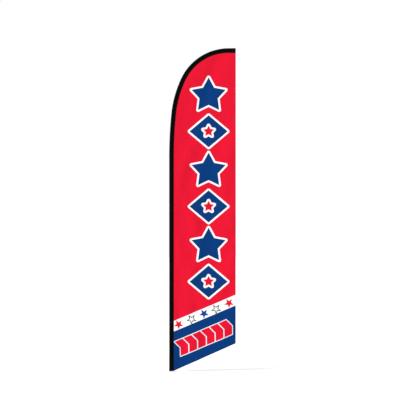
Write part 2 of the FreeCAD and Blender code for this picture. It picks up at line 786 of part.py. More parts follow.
def make_tip_pocket():
    """Closed end of the sleeve at the fly edge, into which the tip cap pushes."""
    body = new_body("tip_pocket")
    start_run = "dims.sleeve_top_run + dims.cloth_gap"
    start_x = along("sleeve", 3, level_run=start_run)[0]
    length = f"dims.fly_edge - {start_x}"
    pad(body, "pocket", sleeve_section(body, "section"), length)
    end = new_sketch(body, "end_outline", "XY_Plane")
    circle(end, "end", "dims.sleeve_inner + dims.sleeve_wall / 2")
    end.AttachmentOffset = FreeCAD.Placement(
        FreeCAD.Vector(0, 0, value_of(f"{length} - dims.pocket_wall")), FreeCAD.Rotation())
    pad(body, "end_wall", end, "dims.pocket_wall")
    place_along(body, "sleeve", 3, level_run=start_run)


def make_retaining_tab():
    """Webbing tab sewn to the back of the cuff, with a hole for its eyelet."""
    body = new_body("retaining_tab")
    back = "XZ_Plane"
    webbing = new_sketch(body, "webbing_outline", back)
    polygon(webbing, "webbing", [("-dims.tab_radius", "dims.eyelet_height"),
                                 ("dims.tab_radius", "dims.eyelet_height"),
                                 ("dims.tab_radius", "dims.tab_height"),
                                 ("-dims.tab_radius", "dims.tab_height")])
    pad(body, "webbing", webbing, "dims.tab_thick", downwards=True)
    end = new_sketch(body, "end_outline", back)
    circle(end, "end", "dims.tab_radius", "0", "dims.eyelet_height")
    pad(body, "round_end", end, "dims.tab_thick", downwards=True)
    hole = new_sketch(body, "hole_outline", back)
    circle(hole, "hole", "dims.eyelet_hole + dims.eyelet_flange + dims.fit_gap", "0",
           "dims.eyelet_height")
    cut(body, "eyelet_hole", hole, "2 * dims.tab_thick", False)
    place(body, y="dims.tab_front")


def make_tab_eyelet():
    """Rolled brass eyelet: a barrel through the webbing with a flange on each face."""
    body = new_body("tab_eyelet")
    barrel = "(dims.eyelet_hole + dims.eyelet_flange)"
    face = "dims.fit_gap / 2"
    turn(body, "rolled_eyelet", [
        ("dims.eyelet_hole", f"-dims.eyelet_flange - {face}"),
        ("dims.eyelet_radius", f"-dims.eyelet_flange - {face}"),
        ("dims.eyelet_radius", f"-{face}"),
        (barrel, f"-{face}"),
        (barrel, f"dims.tab_thick + {face}"),
        ("dims.eyelet_radius", f"dims.tab_thick + {face}"),
        ("dims.eyelet_radius", f"dims.tab_thick + dims.eyelet_flange + {face}"),
        ("dims.eyelet_hole", f"dims.tab_thick + dims.eyelet_flange + {face}"),
    ])
    backwards = FreeCAD.Rotation(FreeCAD.Vector(1, 0, 0), -90)
    body.Placement = FreeCAD.Placement(FreeCAD.Vector(0, 0, 0), backwards)
    place(body, y="dims.tab_front", z="dims.eyelet_height")


# ---------------------------------------------------------------------------------------------
# The assembly
# ---------------------------------------------------------------------------------------------
make_spindle_socket()
make_thrust_washer()
make_retaining_ring()
make_foot_bush()
make_top_bush()
make_tube("lower_tube", TUBE_START, ["dims.foot_rivet", TOP_BUSH_RIVET, joiner_rivet(FIRST_BREAK)],
          None)
make_tube("middle_tube", FIRST_BREAK, [joiner_rivet(SECOND_BREAK)], joiner_button(FIRST_BREAK))
make_tube("upper_tube", SECOND_BREAK, [FERRULE_RIVET], joiner_button(SECOND_BREAK))
for where, joint in (("lower", FIRST_BREAK), ("upper", SECOND_BREAK)):
    make_joiner(f"{where}_joiner", joint)
    make_snap_button(f"{where}_button", joint)
    make_button_spring(f"{where}_button_spring", joint)
make_rivets("tube_rivets", ["dims.foot_rivet", TOP_BUSH_RIVET, joiner_rivet(FIRST_BREAK),
                            joiner_rivet(SECOND_BREAK), FERRULE_RIVET])
make_composite_ferrule()
make_composite_tube()
make_tip_ferrule()
make_tip_rod()
make_tip_cap()
make_flag_panel()
make_pole_sleeve()
make_foot_cuff()
make_tip_pocket()
make_retaining_tab()
make_tab_eyelet()
doc.recompute()

# ---------------------------------------------------------------------------------------------
# Check every object, then write each sub-part
# ---------------------------------------------------------------------------------------------
for item in doc.Objects:
    if "Invalid" in item.State or "Error" in item.State:
        raise RuntimeError(f"{item.Label} failed: {item.State}")
    if item.TypeId == "Sketcher::SketchObject" and item.solve() != 0:
        raise RuntimeError(f"{item.Label} is not solved")
for part in subparts:
    if part.Shape.isNull() or not part.Shape.isValid():
        raise RuntimeError(f"{part.Label} has no valid shape")

os.makedirs("parts", exist_ok=True)
for part in subparts:
    part.Shape.exportStep(os.path.join("parts", f"{part.Label}.step"))
    box = part.Shape.optimalBoundingBox(False)
    print(f"{part.Label:22s} solids {len(part.Shape.Solids)} volume {part.Shape.Volume:12.1f} "
          f"x {box.XMin:8.2f} {box.XMax:8.2f} y {box.YMin:7.2f} {box.YMax:7.2f} "
          f"z {box.ZMin:8.2f} {box.ZMax:8.2f}")
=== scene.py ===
from math import acos, atan2, ceil, cos, dist, exp, hypot, pi, radians, sin, sqrt, tau

import bpy
import numpy as np
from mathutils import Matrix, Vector, geometry, kdtree, noise


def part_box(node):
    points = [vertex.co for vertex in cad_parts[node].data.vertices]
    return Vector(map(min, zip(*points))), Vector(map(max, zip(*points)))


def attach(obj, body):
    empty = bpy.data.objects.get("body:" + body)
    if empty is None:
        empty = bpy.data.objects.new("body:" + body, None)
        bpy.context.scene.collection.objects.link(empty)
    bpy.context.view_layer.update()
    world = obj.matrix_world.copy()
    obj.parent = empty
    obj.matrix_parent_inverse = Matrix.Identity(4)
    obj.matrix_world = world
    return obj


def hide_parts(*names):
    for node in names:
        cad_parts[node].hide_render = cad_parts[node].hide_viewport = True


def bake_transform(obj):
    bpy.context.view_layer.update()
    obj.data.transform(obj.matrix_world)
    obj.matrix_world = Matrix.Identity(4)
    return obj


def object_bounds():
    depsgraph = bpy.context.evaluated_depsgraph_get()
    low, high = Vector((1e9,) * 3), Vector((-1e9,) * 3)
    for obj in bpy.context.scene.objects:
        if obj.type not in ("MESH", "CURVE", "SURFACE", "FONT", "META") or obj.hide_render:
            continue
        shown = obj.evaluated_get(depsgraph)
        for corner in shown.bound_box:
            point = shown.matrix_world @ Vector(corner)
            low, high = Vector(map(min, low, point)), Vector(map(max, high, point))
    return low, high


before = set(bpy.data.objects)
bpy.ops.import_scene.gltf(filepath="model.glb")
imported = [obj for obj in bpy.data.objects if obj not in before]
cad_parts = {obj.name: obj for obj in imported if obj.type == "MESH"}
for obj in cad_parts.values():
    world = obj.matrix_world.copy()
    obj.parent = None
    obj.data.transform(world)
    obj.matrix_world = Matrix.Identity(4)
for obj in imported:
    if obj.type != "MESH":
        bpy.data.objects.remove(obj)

# Looks of a feather flag on a jointed pole.  Metres; +Z up; the flag stands out from the pole
# towards +X and its printed face looks towards -Y.

cad_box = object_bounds()

# ---- The design's lines and sizes ----
STRAIGHT = 2.430
BENDS = ((4.900, 5.7), (1.220, 19.5), (0.580, 64.8))  # radius, turn in degrees
SLEEVE_OUT = 0.0165  # from the sleeve's line to its outer fold
SEAM_IN = 0.0360  # from the sleeve's line to the seam's edge
FLY_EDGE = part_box("flag_panel")[1].x
FLAG_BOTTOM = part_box("foot_cuff")[0].z
FLY_LOW = 0.317
PANEL_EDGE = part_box("flag_panel")[0].x
CLOTH = 0.0003  # thickness of the flag's cloth
NYLON = 0.0005  # thickness of the sleeve's cloth

# Print, in the plane of the flag
BAND_TOP = (0.5568, 0.4247)  # height at the pole's axis, and rise per metre
BAND_LOW = (0.4369, 0.4219)
COLUMN_X = 0.4305
FIGURE_TOP = 3.1485
FIGURE_PITCH = 0.426
FIGURE_COUNT = 6
OUTLINE = 0.021
SLANT = radians(23.0)
SMALL_STARS = ((0.0915, 0.532), (0.2365, 0.591), (0.3785, 0.655), (0.5155, 0.707), (0.6625, 0.774))
LOZENGE = (0.216, 0.182)  # half width and half height
LARGE_STAR = (0.204, 0.53)  # radius, and its waist's share of that
LARGE_STAR_DROP = 0.019
WINDOW_STAR = (0.066, 0.5)
SOLID_STAR = (0.058, 0.42)
GREY_STAR = (0.062, 0.42)
GREY_STAR_INSIDE = (0.038, 0.42)
CHEVRON_CENTRE = (0.388, 0.386)
CHEVRON_COUNT = 6
CHEVRON_PITCH = 0.108
CHEVRON = (0.096, 0.036, 0.088)  # thickness, reach of its point, half height
CHEVRON_OUTLINE = 0.009


def line_point(length):
    """Point (x, z) and heading on the sleeve's line at a length from its foot."""
    if length <= STRAIGHT:
        return 0.0, length, 0.0
    left = length - STRAIGHT
    x, z, heading = 0.0, STRAIGHT, 0.0
    for radius, turn in BENDS:
        step = min(left, radius * radians(turn))
        turned = heading + step / radius
        x += radius * (cos(heading) - cos(turned))
        z += radius * (sin(turned) - sin(heading))
        heading = turned
        left -= step
    return x + left * sin(heading), z + left * cos(heading), heading


def beside(length, inwards):
    """Point (x, z) at a distance from the sleeve's line, on the flag's side of it."""
    x, z, heading = line_point(length)
    return x + inwards * cos(heading), z - inwards * sin(heading)


BEND_END = STRAIGHT + sum(radius * radians(turn) for radius, turn in BENDS)


def length_at(x):
    """Length along the sleeve's line where its level end reaches x."""
    return BEND_END + x - line_point(BEND_END)[0]


LINE_END = length_at(FLY_EDGE)


def evenly(start, end, count):
    """Numbers from start to end, both included, in count equal steps."""
    return [start + (end - start) * k / count for k in range(count + 1)]


def smooth_step(value, low, high):
    """Rises smoothly from 0 at low to 1 at high."""
    share = min(max((value - low) / (high - low), 0.0), 1.0)
    return share * share * (3.0 - 2.0 * share)


# ---- Camera, light and floor ----
def new_object(name, data):
    made = bpy.data.objects.new(name, data)
    bpy.context.collection.objects.link(made)
    return made


def make_camera():
    data = bpy.data.cameras.new("camera")
    data.lens = 200.0
    data.sensor_width = 36.0
    data.clip_end = 200.0
    camera = new_object("camera", data)
    frame_width = 4.717
    centre = Vector((0.4235, 0.0, 1.853))
    distance = frame_width * data.lens / data.sensor_width
    camera.location = centre - Vector((0.0, distance, 0.0))
    camera.rotation_euler = (radians(90.0), 0.0, 0.0)
    bpy.context.scene.camera = camera


def make_lights():
    world = bpy.data.worlds.new("studio")
    world.use_nodes = True
    set_inputs(world.node_tree.nodes["Background"], Color=(1.0, 1.0, 1.0, 1.0), Strength=1.0)
    bpy.context.scene.world = world
    sun = bpy.data.lights.new("key", "SUN")
    sun.energy = 2.4
    sun.angle = radians(30.0)
    new_object("key", sun).rotation_euler = (radians(50.0), 0.0, radians(-56.0))
    bpy.context.scene.view_settings.view_transform = "Standard"


def make_floor():
    tree, shader = new_material("floor_paint")
    mottle = add_noise(tree, 0.7, 3.0)
    paint_between(tree, shader, mottle, (0.88, 0.88, 0.88), (0.92, 0.92, 0.92))
    set_inputs(shader, Roughness=0.9)
    radius, sides = 60.0, 96
    ring = [(x, y, 0.0) for x, y in arc(radius, 0.0, tau, sides)[:-1]]
    make_piece("floor", ring, [range(sides)], ["floor_paint"], flat=True)


# ---- Materials ----
def scaled(colour, factor):
    return tuple(channel * factor for channel in colour)


def new_material(name):
    material = bpy.data.materials.new(name)
    material.use_nodes = True
    tree = material.node_tree
    return tree, tree.nodes["Principled BSDF"]


def set_inputs(node, **inputs):
    """Sets inputs by their names, in which _ stands for a space."""
    for name, value in inputs.items():
        node.inputs[name.replace("_", " ")].default_value = value


def add_node(tree, kind, **inputs):
    node = tree.nodes.new(kind)
    set_inputs(node, **inputs)
    return node


def coordinates(tree, stretch=(1.0, 1.0, 1.0), turn=(0.0, 0.0, 0.0)):
    """The piece's own coordinates, stretched and turned."""
    source = tree.nodes.new("ShaderNodeTexCoord")
    mapping = add_node(tree, "ShaderNodeMapping", Scale=stretch, Rotation=turn)
    tree.links.new(source.outputs["Object"], mapping.inputs["Vector"])
    return mapping.outputs["Vector"]


def add_noise(tree, scale, detail, stretch=(1.0, 1.0, 1.0)):
    texture = add_node(tree, "ShaderNodeTexNoise", Scale=scale, Detail=detail)
    tree.links.new(coordinates(tree, stretch), texture.inputs["Vector"])
    return texture.outputs["Fac"]


def add_wave(tree, pitch, direction, distortion, turn=(0.0, 0.0, 0.0)):
    """Ridges a given pitch apart, across one axis."""
    texture = add_node(tree, "ShaderNodeTexWave", Scale=tau / 20.0 / pitch, Distortion=distortion)
    texture.bands_direction = direction
    tree.links.new(coordinates(tree, turn=turn), texture.inputs["Vector"])
    return texture.outputs["Fac"]


def combine(tree, operation, first, second):
    node = tree.nodes.new("ShaderNodeMath")
    node.operation = operation
    for socket, value in zip(node.inputs, (first, second)):
        if isinstance(value, (int, float)):
            socket.default_value = value
        else:
            tree.links.new(value, socket)
    return node.outputs[0]


def weighted(tree, first, share, second, other_share):
    """Sum of two values, each times its share."""
    return combine(tree, "ADD", combine(tree, "MULTIPLY", first, share),
                   combine(tree, "MULTIPLY", second, other_share))


def spread(tree, value, low, high, span=(0.3, 0.7)):
    """Maps a texture's value to a range."""
    node = add_node(tree, "ShaderNodeMapRange")
    for index, number in zip((1, 2, 3, 4), (*span, low, high)):
        node.inputs[index].default_value = number
    tree.links.new(value, node.inputs[0])
    return node.outputs[0]


def paint_between(tree, shader, value, dark, light, span=(0.3, 0.7)):
    """Colours the shader between two colours, as a texture's value says."""
    ramp = tree.nodes.new("ShaderNodeValToRGB")
    for element, place, colour in zip(ramp.color_ramp.elements, span, (dark, light)):
        element.position = place
        element.color = (*colour, 1.0)
    tree.links.new(value, ramp.inputs["Fac"])
    tree.links.new(ramp.outputs["Color"], shader.inputs["Base Color"])
    return ramp.color_ramp


def roughen(tree, shader, value, low, high):
    tree.links.new(spread(tree, value, low, high), shader.inputs["Roughness"])


def emboss(tree, shader, height, depth, strength):
    """Bump of a given depth, in metres."""
    bump = add_node(tree, "ShaderNodeBump", Strength=strength, Distance=depth)
    tree.links.new(height, bump.inputs["Height"])
    tree.links.new(bump.outputs["Normal"], shader.inputs["Normal"])


def edge_rub(tree, width):
    """Rises from 0 on faces to 1 along the edges that handling rubs."""
    rounded = add_node(tree, "ShaderNodeBevel", Radius=width)
    surface = tree.nodes.new("ShaderNodeNewGeometry")
    agreement = tree.nodes.new("ShaderNodeVectorMath")
    agreement.operation = "DOT_PRODUCT"
    tree.links.new(rounded.outputs["Normal"], agreement.inputs[0])
    tree.links.new(surface.outputs["Normal"], agreement.inputs[1])
    return spread(tree, agreement.outputs["Value"], 1.0, 0.0, (0.80, 0.99))


def paint_worn(tree, shader, patches, dark, light, rubbed):
    """Patches between two colours, and a third colour along rubbed edges."""
    rub = edge_rub(tree, 0.0004)
    ramp = paint_between(tree, shader, combine(tree, "MAXIMUM", patches, rub), dark, light)
    ramp.elements.new(1.0).color = (*rubbed, 1.0)


def print_cloth(name, colour):
    """Knitted flag polyester with a dye print: fine rows of knit, faint mottling of the ink."""
    tree, shader = new_material(name)
    wales, courses = add_wave(tree, 0.0011, "X", 0.8), add_wave(tree, 0.0009, "Z", 0.8)
    knit = combine(tree, "MULTIPLY", wales, courses)
    mottle = weighted(tree, add_noise(tree, 2.2, 5.0), 0.45, add_noise(tree, 260.0, 2.0), 0.3)
    ink = combine(tree, "ADD", mottle, combine(tree, "MULTIPLY", knit, 0.5))
    paint_between(tree, shader, ink, scaled(colour, 0.90), scaled(colour, 1.02), (0.2, 0.8))
    roughen(tree, shader, add_noise(tree, 35.0, 3.0), 0.68, 0.82)
    emboss(tree, shader, knit, 0.00035, 0.8)
    set_inputs(shader, Specular_IOR_Level=0.035, Sheen_Weight=0.01, Sheen_Roughness=0.6)


def black_cloth(name, pitch, dark, light, depth):
    """Black woven nylon or webbing: crossing ribs with a painted sheen that lightens their raised
    crossings, and a little dust in soft random patches.
    """
    tree, shader = new_material(name)
    quarter = (0.0, radians(45.0), 0.0)
    weave = combine(tree, "MULTIPLY", add_wave(tree, pitch, "X", 0.6, quarter),
                    add_wave(tree, pitch, "Z", 0.6, quarter))
    # Colour: a painted sheen, lighter on the ribs' raised crossings, mixed with random dust-grey
    # patches
    rib_sheen_and_dust = weighted(tree, weave, 0.35, add_noise(tree, 9.0, 6.0), 0.65)
    paint_between(tree, shader, rib_sheen_and_dust, dark, light)
    roughen(tree, shader, add_noise(tree, 60.0, 3.0), 0.62, 0.8)
    emboss(tree, shader, weave, depth, 0.6)
    set_inputs(shader, Specular_IOR_Level=0.035)


def thread(name, colour):
    tree, shader = new_material(name)
    twist = add_wave(tree, 0.0009, "DIAGONAL", 0.2)
    paint_between(tree, shader, twist, scaled(colour, 0.7), colour)
    emboss(tree, shader, twist, 0.00008, 0.6)
    set_inputs(shader, Roughness=0.6, Specular_IOR_Level=0.25)


def metal(name, dark, light, rough, stretch):
    """Turned, drawn or polished metal: fine streaks along the tool's path, dulled in patches."""
    tree, shader = new_material(name)
    streaks = add_noise(tree, 900.0, 3.0, stretch)
    patches = add_noise(tree, 30.0, 5.0)
    paint_worn(tree, shader, patches, dark, light, scaled(light, 1.2))
    roughen(tree, shader, combine(tree, "MULTIPLY", streaks, patches), rough, rough + 0.22)
    emboss(tree, shader, streaks, 0.00002, 0.4)
    set_inputs(shader, Metallic=1.0)


def moulded(name, dark, light, rough, grain=(1.0, 1.0, 1.0), depth=0.00003, specular=0.4):
    """Moulded plastic, rubber or pultruded fibre: fine grain and soft scuffs."""
    tree, shader = new_material(name)
    scuffs = add_noise(tree, 45.0, 6.0)
    paint_worn(tree, shader, scuffs, dark, light, tuple(0.85 * level + 0.05 for level in light))
    roughen(tree, shader, scuffs, rough, rough + 0.2)
    emboss(tree, shader, add_noise(tree, 1200.0, 2.0, grain), depth, 0.5)
    set_inputs(shader, Specular_IOR_Level=specular)


# Screen colours of the print, and the light that reaches the front of the flag
FACE_LIGHT = 1.39
GLOSS = 0.0035


def ink_for(*screen):
    """Ink that looks like an 8-bit screen colour in this light, under the cloth's own gloss."""
    shares = [level / 255.0 for level in screen]
    linear = [share / 12.92 if share <= 0.04045 else ((share + 0.055) / 1.055) ** 2.4
              for share in shares]
    return tuple(max(level - GLOSS, 0.001) / FACE_LIGHT for level in linear)


INKS = {"red": ink_for(237, 27, 54), "white": (0.76, 0.76, 0.76), "blue": ink_for(3, 62, 127),
        "star_blue": ink_for(33, 70, 160), "grey": ink_for(60, 60, 60), "pale": (0.62, 0.71, 0.76)}
BACK_FADE = 0.93  # the print shows a little weaker on the back
BACK_GREY = 0.015


def make_materials():
    for ink, colour in INKS.items():
        print_cloth(f"print_{ink}", colour)
        faded = tuple(channel * BACK_FADE + BACK_GREY for channel in colour)
        print_cloth(f"print_{ink}_back", faded)
        thread(f"thread_{ink}", scaled(colour, 0.9))
    black_cloth("sleeve_nylon", 0.0012, (0.0008, 0.0008, 0.0009), (0.0024, 0.0024, 0.0026), 0.0003)
    black_cloth("cuff_nylon", 0.0020, (0.0012, 0.0012, 0.0013), (0.0040, 0.0040, 0.0042), 0.0005)
    black_cloth("webbing_weave", 0.0022, (0.006, 0.006, 0.0065), (0.014, 0.014, 0.015), 0.0004)
    thread("thread_black", (0.045, 0.045, 0.048))
    metal("turned_steel", (0.30, 0.31, 0.33), (0.46, 0.47, 0.49), 0.24, (0.1, 0.1, 1.0))
    metal("spring_steel_finish", (0.36, 0.37, 0.39), (0.55, 0.56, 0.58), 0.2, (1.0, 1.0, 0.1))
    metal("anodised_tube", (0.62, 0.63, 0.66), (0.74, 0.75, 0.78), 0.3, (1.0, 1.0, 0.02))
    metal("rivet_finish", (0.55, 0.56, 0.58), (0.72, 0.73, 0.75), 0.28, (1.0, 0.3, 0.3))
    metal("rolled_brass", (0.62, 0.44, 0.18), (0.80, 0.60, 0.28), 0.22, (0.3, 1.0, 0.3))
    moulded("acetal_black", (0.010, 0.010, 0.011), (0.026, 0.026, 0.028), 0.38)
    moulded("washer_white", (0.70, 0.69, 0.66), (0.82, 0.81, 0.78), 0.42)
    moulded("glass_fibre_tube", (0.52, 0.48, 0.36), (0.70, 0.66, 0.52), 0.25,
            grain=(1.0, 1.0, 0.02), depth=0.00006)
    moulded("cap_rubber_black", (0.012, 0.012, 0.012), (0.03, 0.03, 0.03), 0.7,
            depth=0.00006, specular=0.2)


NODE_MATERIALS = {
    "turned_steel": ("spindle_socket",),
    "spring_steel_finish": ("retaining_ring", "lower_button", "upper_button"),
    "washer_white": ("thrust_washer",),
    "acetal_black": ("foot_bush", "top_bush", "composite_ferrule", "tip_ferrule"),
    "anodised_tube": ("lower_tube", "middle_tube", "upper_tube", "lower_joiner", "upper_joiner"),
    "rivet_finish": ("tube_rivets",),
    "glass_fibre_tube": ("composite_tube", "tip_rod"),
    "cap_rubber_black": ("tip_cap",),
    "rolled_brass": ("tab_eyelet",),
}


def dress_frame():
    for name, nodes in NODE_MATERIALS.items():
        for node in nodes:
            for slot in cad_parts[node].material_slots:
                slot.material = bpy.data.materials[name]


# ---- Mesh helpers ----
def make_piece(name, points, faces, materials, indices=None, flat=False):
    """A mesh object with its materials."""
    mesh = bpy.data.meshes.new(name)
    mesh.from_pydata([tuple(point) for point in points], [], [tuple(face) for face in faces])
    for material in materials:
        mesh.materials.append(bpy.data.materials[material])
    if indices is not None:
        mesh.polygons.foreach_set("material_index", np.asarray(indices, dtype=np.int32))
    mesh.polygons.foreach_set("use_smooth", [not flat] * len(mesh.polygons))
    mesh.update()
    return new_object(name, mesh)


def soft_piece(piece, node):
    """Puts a piece of the flag on the pole's body, in place of its CAD solid."""
    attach(piece, "pole")
    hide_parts(node)
    return piece


def used_only(points, faces):
    """The points that the faces use, and the faces with those points' new numbers."""
    used = sorted({corner for face in faces for corner in face})
    number = {corner: index for index, corner in enumerate(used)}
    return np.array(points)[used], [tuple(number[corner] for corner in face) for face in faces]


def search_tree(points):
    """Finds the points nearest to a place."""
    tree = kdtree.KDTree(len(points))
    for index, point in enumerate(points):
        tree.insert(point, index)
    tree.balance()
    return tree


def closed_sheet(name, front, back, faces, materials, indices=None, back_shift=0):
    """Closed sheet of two layers of points: the front's faces, the same on the back, and a rim."""
    count = len(front)
    indices = [0] * len(faces) if indices is None else list(indices)
    edges = {(face[k], face[(k + 1) % len(face)]): index
             for face, index in zip(faces, indices) for k in range(len(face))}
    rim = {(end, start, start + count, end + count): index
           for (start, end), index in edges.items() if (end, start) not in edges}
    backs = [[corner + count for corner in face[::-1]] for face in faces]
    slots = indices + [index + back_shift for index in indices] + list(rim.values())
    points, faces = used_only(np.vstack([front, back]), [*faces, *backs, *rim])
    return make_piece(name, points, faces, materials, slots)


def carried_faces(rings, size):
    """Faces of a closed loop carried along a line: its sides, ring by ring, then its two ends."""
    faces = []
    for ring in range(0, (rings - 1) * size, size):
        for side in range(size):
            after = (side + 1) % size
            faces.append((ring + side, ring + after, ring + size + after, ring + size + side))
    last = (rings - 1) * size
    return faces + [tuple(range(size))[::-1], tuple(range(last, last + size))]


def arc(radius, start, turn, steps, across=0.0, up=0.0):
    """Points on an arc round a centre, from an angle in radians through a turn."""
    angles = [start + turn * k / steps for k in range(steps + 1)]
    return [(across + radius * cos(angle), up + radius * sin(angle)) for angle in angles]


def divided(points, step):
    """The closed outline with its long sides divided."""
    result = []
    for (x, z), (end_x, end_z) in zip(points, points[1:] + points[:1]):
        count = max(1, ceil(hypot(end_x - x, end_z - z) / step))
        shares = evenly(0.0, 1.0, count)[:-1]
        result += [(x + (end_x - x) * share, z + (end_z - z) * share) for share in shares]
    return result


CORNER_STEP = radians(18.0)


def grown(points, distance):
    """An anticlockwise outline moved outwards, with round outer corners."""
    result = []
    count = len(points)
    for k, (x, z) in enumerate(points):
        before, after = points[k - 1], points[(k + 1) % count]
        start = atan2(z - before[1], x - before[0]) - pi / 2
        turn = atan2(after[1] - z, after[0] - x) - pi / 2 - start
        turn = (turn + pi) % tau - pi
        if turn > 0:
            result += arc(distance, start, turn, max(1, round(turn / CORNER_STEP)), x, z)
        else:
            angle = start + turn / 2
            reach = distance / cos(turn / 2)
            result.append((x + reach * cos(angle), z + reach * sin(angle)))
    return result


def moved(points, across, up, turn=0.0):
    """The points turned round the origin, then moved."""
    return [(across + x * cos(turn) - z * sin(turn),
             up + x * sin(turn) + z * cos(turn)) for x, z in points]


def star(radius, waist, first=90.0):
    """Anticlockwise five-pointed star; first is the direction of its first point, in degrees."""
    points = []
    for k in range(10):
        angle = radians(first) + pi * k / 5
        reach = radius * waist if k % 2 else radius
        points.append((reach * cos(angle), reach * sin(angle)))
    return points


def lozenge(half_width, half_height):
    return [(half_width, 0.0), (0.0, half_height), (-half_width, 0.0), (0.0, -half_height)]


def chevron(thick, reach, half_height):
    return [(0.0, -half_height), (thick, -half_height), (thick + reach, 0.0), (thick, half_height),
            (0.0, half_height), (reach, 0.0)]


# ---- Ripples: a cloth simulation of the flag hanging from its sleeve ----
RASTER = 0.010  # spacing of the grid that holds the ripples
RASTER_ROWS = ceil((cad_box[1].z + 0.02) / RASTER) + 1
RASTER_COLUMNS = ceil((FLY_EDGE + 0.02) / RASTER) + 1
RIPPLE_LIMIT = 0.014
RIPPLE_RISE = 0.06  # from the seam's edge to where the ripples are at their full depth
FOLD_SPACING = 0.13
FOLD_LENGTH = 0.75
FOLD_LEAN = radians(72.0)
FOLD_DEPTH = 0.014
PUCKER_DEPTH = 0.0022
PUCKER_FADE = 0.035  # from the sewing to where the puckers are a third as deep
PUCKER_REACH = 0.09
PUCKER_RISE = 0.008


def flag_rows(columns, rows):
    """Grid of points over the flag: each row runs from the seam to the fly edge."""
    top = beside(BEND_END, PANEL_EDGE)[1]
    points = []
    for j in range(rows + 1):
        share = j / rows
        left = beside(FLAG_BOTTOM + (BEND_END - FLAG_BOTTOM) * share, PANEL_EDGE)
        right = (FLY_EDGE, FLY_LOW + (top - FLY_LOW) * share)
        for i in range(columns + 1):
            part = i / columns
            points.append((left[0] + (right[0] - left[0]) * part, 0.0,
                           left[1] + (right[1] - left[1]) * part))
    return points


def add_breeze():
    """A light gusty wind from the left of the flag's face."""
    breeze = new_object("breeze", None)
    breeze.location = (0.0, -2.0, 1.0)
    breeze.rotation_euler = (radians(-80.0), 0.0, radians(-35.0))
    bpy.context.view_layer.objects.active = breeze
    bpy.ops.object.forcefield_toggle()
    breeze.field.type = "WIND"
    breeze.field.strength = 1.2
    breeze.field.noise = 1.5
    breeze.field.seed = 7
    return breeze


def hang_cloth(points, faces, held_points):
    """Runs the cloth simulation and returns each point's sideways shift."""
    cloth = make_piece("hanging_cloth", points, faces, [])
    held = cloth.vertex_groups.new(name="held")
    held.add(held_points, 1.0, "REPLACE")
    modifier = cloth.modifiers.new("cloth", "CLOTH")
    settings = {"vertex_group_mass": "held", "quality": 6, "mass": 0.02, "air_damping": 1.5,
                "tension_stiffness": 12.0, "compression_stiffness": 12.0, "shear_stiffness": 6.0,
                "bending_stiffness": 0.4, "shrink_min": -0.004}
    for name, value in settings.items():
        setattr(modifier.settings, name, value)
    modifier.collision_settings.use_collision = False
    breeze = add_breeze()
    scene = bpy.context.scene
    frames = 45
    modifier.point_cache.frame_start = 1
    modifier.point_cache.frame_end = frames
    for number in range(1, frames + 1):
        scene.frame_set(number)
    shape = cloth.evaluated_get(bpy.context.evaluated_depsgraph_get()).to_mesh()
    shift = [vertex.co.y for vertex in shape.vertices]
    scene.frame_set(1)
    bpy.data.objects.remove(cloth)
    bpy.data.objects.remove(breeze)
    return shift


def simulate_ripples():
    """Hangs the cloth in a light breeze and returns its sideways shift on a regular grid."""
    columns, rows = 26, 132
    points = flag_rows(columns, rows)
    wide = columns + 1
    faces = [(j * wide + i, j * wide + i + 1, (j + 1) * wide + i + 1, (j + 1) * wide + i)
             for j in range(rows) for i in range(columns)]
    held_points = [j * wide for j in range(rows + 1)] + [rows * wide + i for i in range(1, wide)]
    shift = hang_cloth(points, faces, held_points)
    near = search_tree(points)
    grid = np.zeros((RASTER_ROWS, RASTER_COLUMNS))
    for row in range(RASTER_ROWS):
        for column in range(RASTER_COLUMNS):
            found = near.find_n((column * RASTER, 0.0, row * RASTER), 4)
            weights = [1.0 / (gap + 0.002) ** 2 for _, _, gap in found]
            total = sum(w * shift[index] for w, (_, index, _) in zip(weights, found))
            grid[row, column] = total / sum(weights)
    for _ in range(5):
        padded = np.pad(grid, 1, mode="edge")
        grid = (padded[1:-1, 1:-1] * 4 + padded[:-2, 1:-1] + padded[2:, 1:-1]
                + padded[1:-1, :-2] + padded[1:-1, 2:]) / 8
    return RIPPLE_LIMIT * np.tanh(grid / RIPPLE_LIMIT)


def drag_folds(x, z):
    """Long soft folds that lean from the fly edge up towards the bend."""
    lengthwise = x * cos(FOLD_LEAN) + z * sin(FOLD_LEAN)
    across = z * cos(FOLD_LEAN) - x * sin(FOLD_LEAN)
    place = Vector((across / FOLD_SPACING, lengthwise / FOLD_LENGTH, 2.0))
    return FOLD_DEPTH * noise.noise(place)


def seam_puckers(x, z, seam_gap):
    """Short shallow folds that the sewing draws into the cloth beside the sleeve and the hems."""
    shift = 0.0
    for gap, seed in ((seam_gap - SEAM_IN, 1.0), (FLY_EDGE - x, 5.0)):
        if gap < PUCKER_REACH:
            depth = exp(-max(gap, 0.0) / PUCKER_FADE) * PUCKER_DEPTH
            shift += depth * noise.noise(Vector((z / 0.045 + x / 0.09, x / 0.3, seed)))
    return shift


def ripple(x, z):
    """Sideways shift of the cloth at points of the flag's plane; none in the sleeve's seam."""
    x, z = np.asarray(x, dtype=float), np.asarray(z, dtype=float)
    column = np.clip(x / RASTER, 0, ripples.shape[1] - 1.001)
    row = np.clip(z / RASTER, 0, ripples.shape[0] - 1.001)
    i, j = column.astype(int), row.astype(int)
    u, v = column - i, row - j
    shift = ((ripples[j, i] * (1 - u) + ripples[j, i + 1] * u) * (1 - v)
             + (ripples[j + 1, i] * (1 - u) + ripples[j + 1, i + 1] * u) * v)
    places = list(zip(x.ravel(), z.ravel()))
    gaps = [sleeve_line.find((*place, 0.0))[2] for place in places]
    free = [smooth_step(gap, SEAM_IN, SEAM_IN + RIPPLE_RISE) for gap in gaps]
    folds = [drag_folds(*place) for place in places]
    edge = [smooth_step(gap, SEAM_IN, SEAM_IN + PUCKER_RISE) * seam_puckers(*place, gap)
            for gap, place in zip(gaps, places)]
    shift = (shift.ravel() + np.array(folds)) * np.array(free) + np.array(edge)
    return shift.reshape(x.shape)


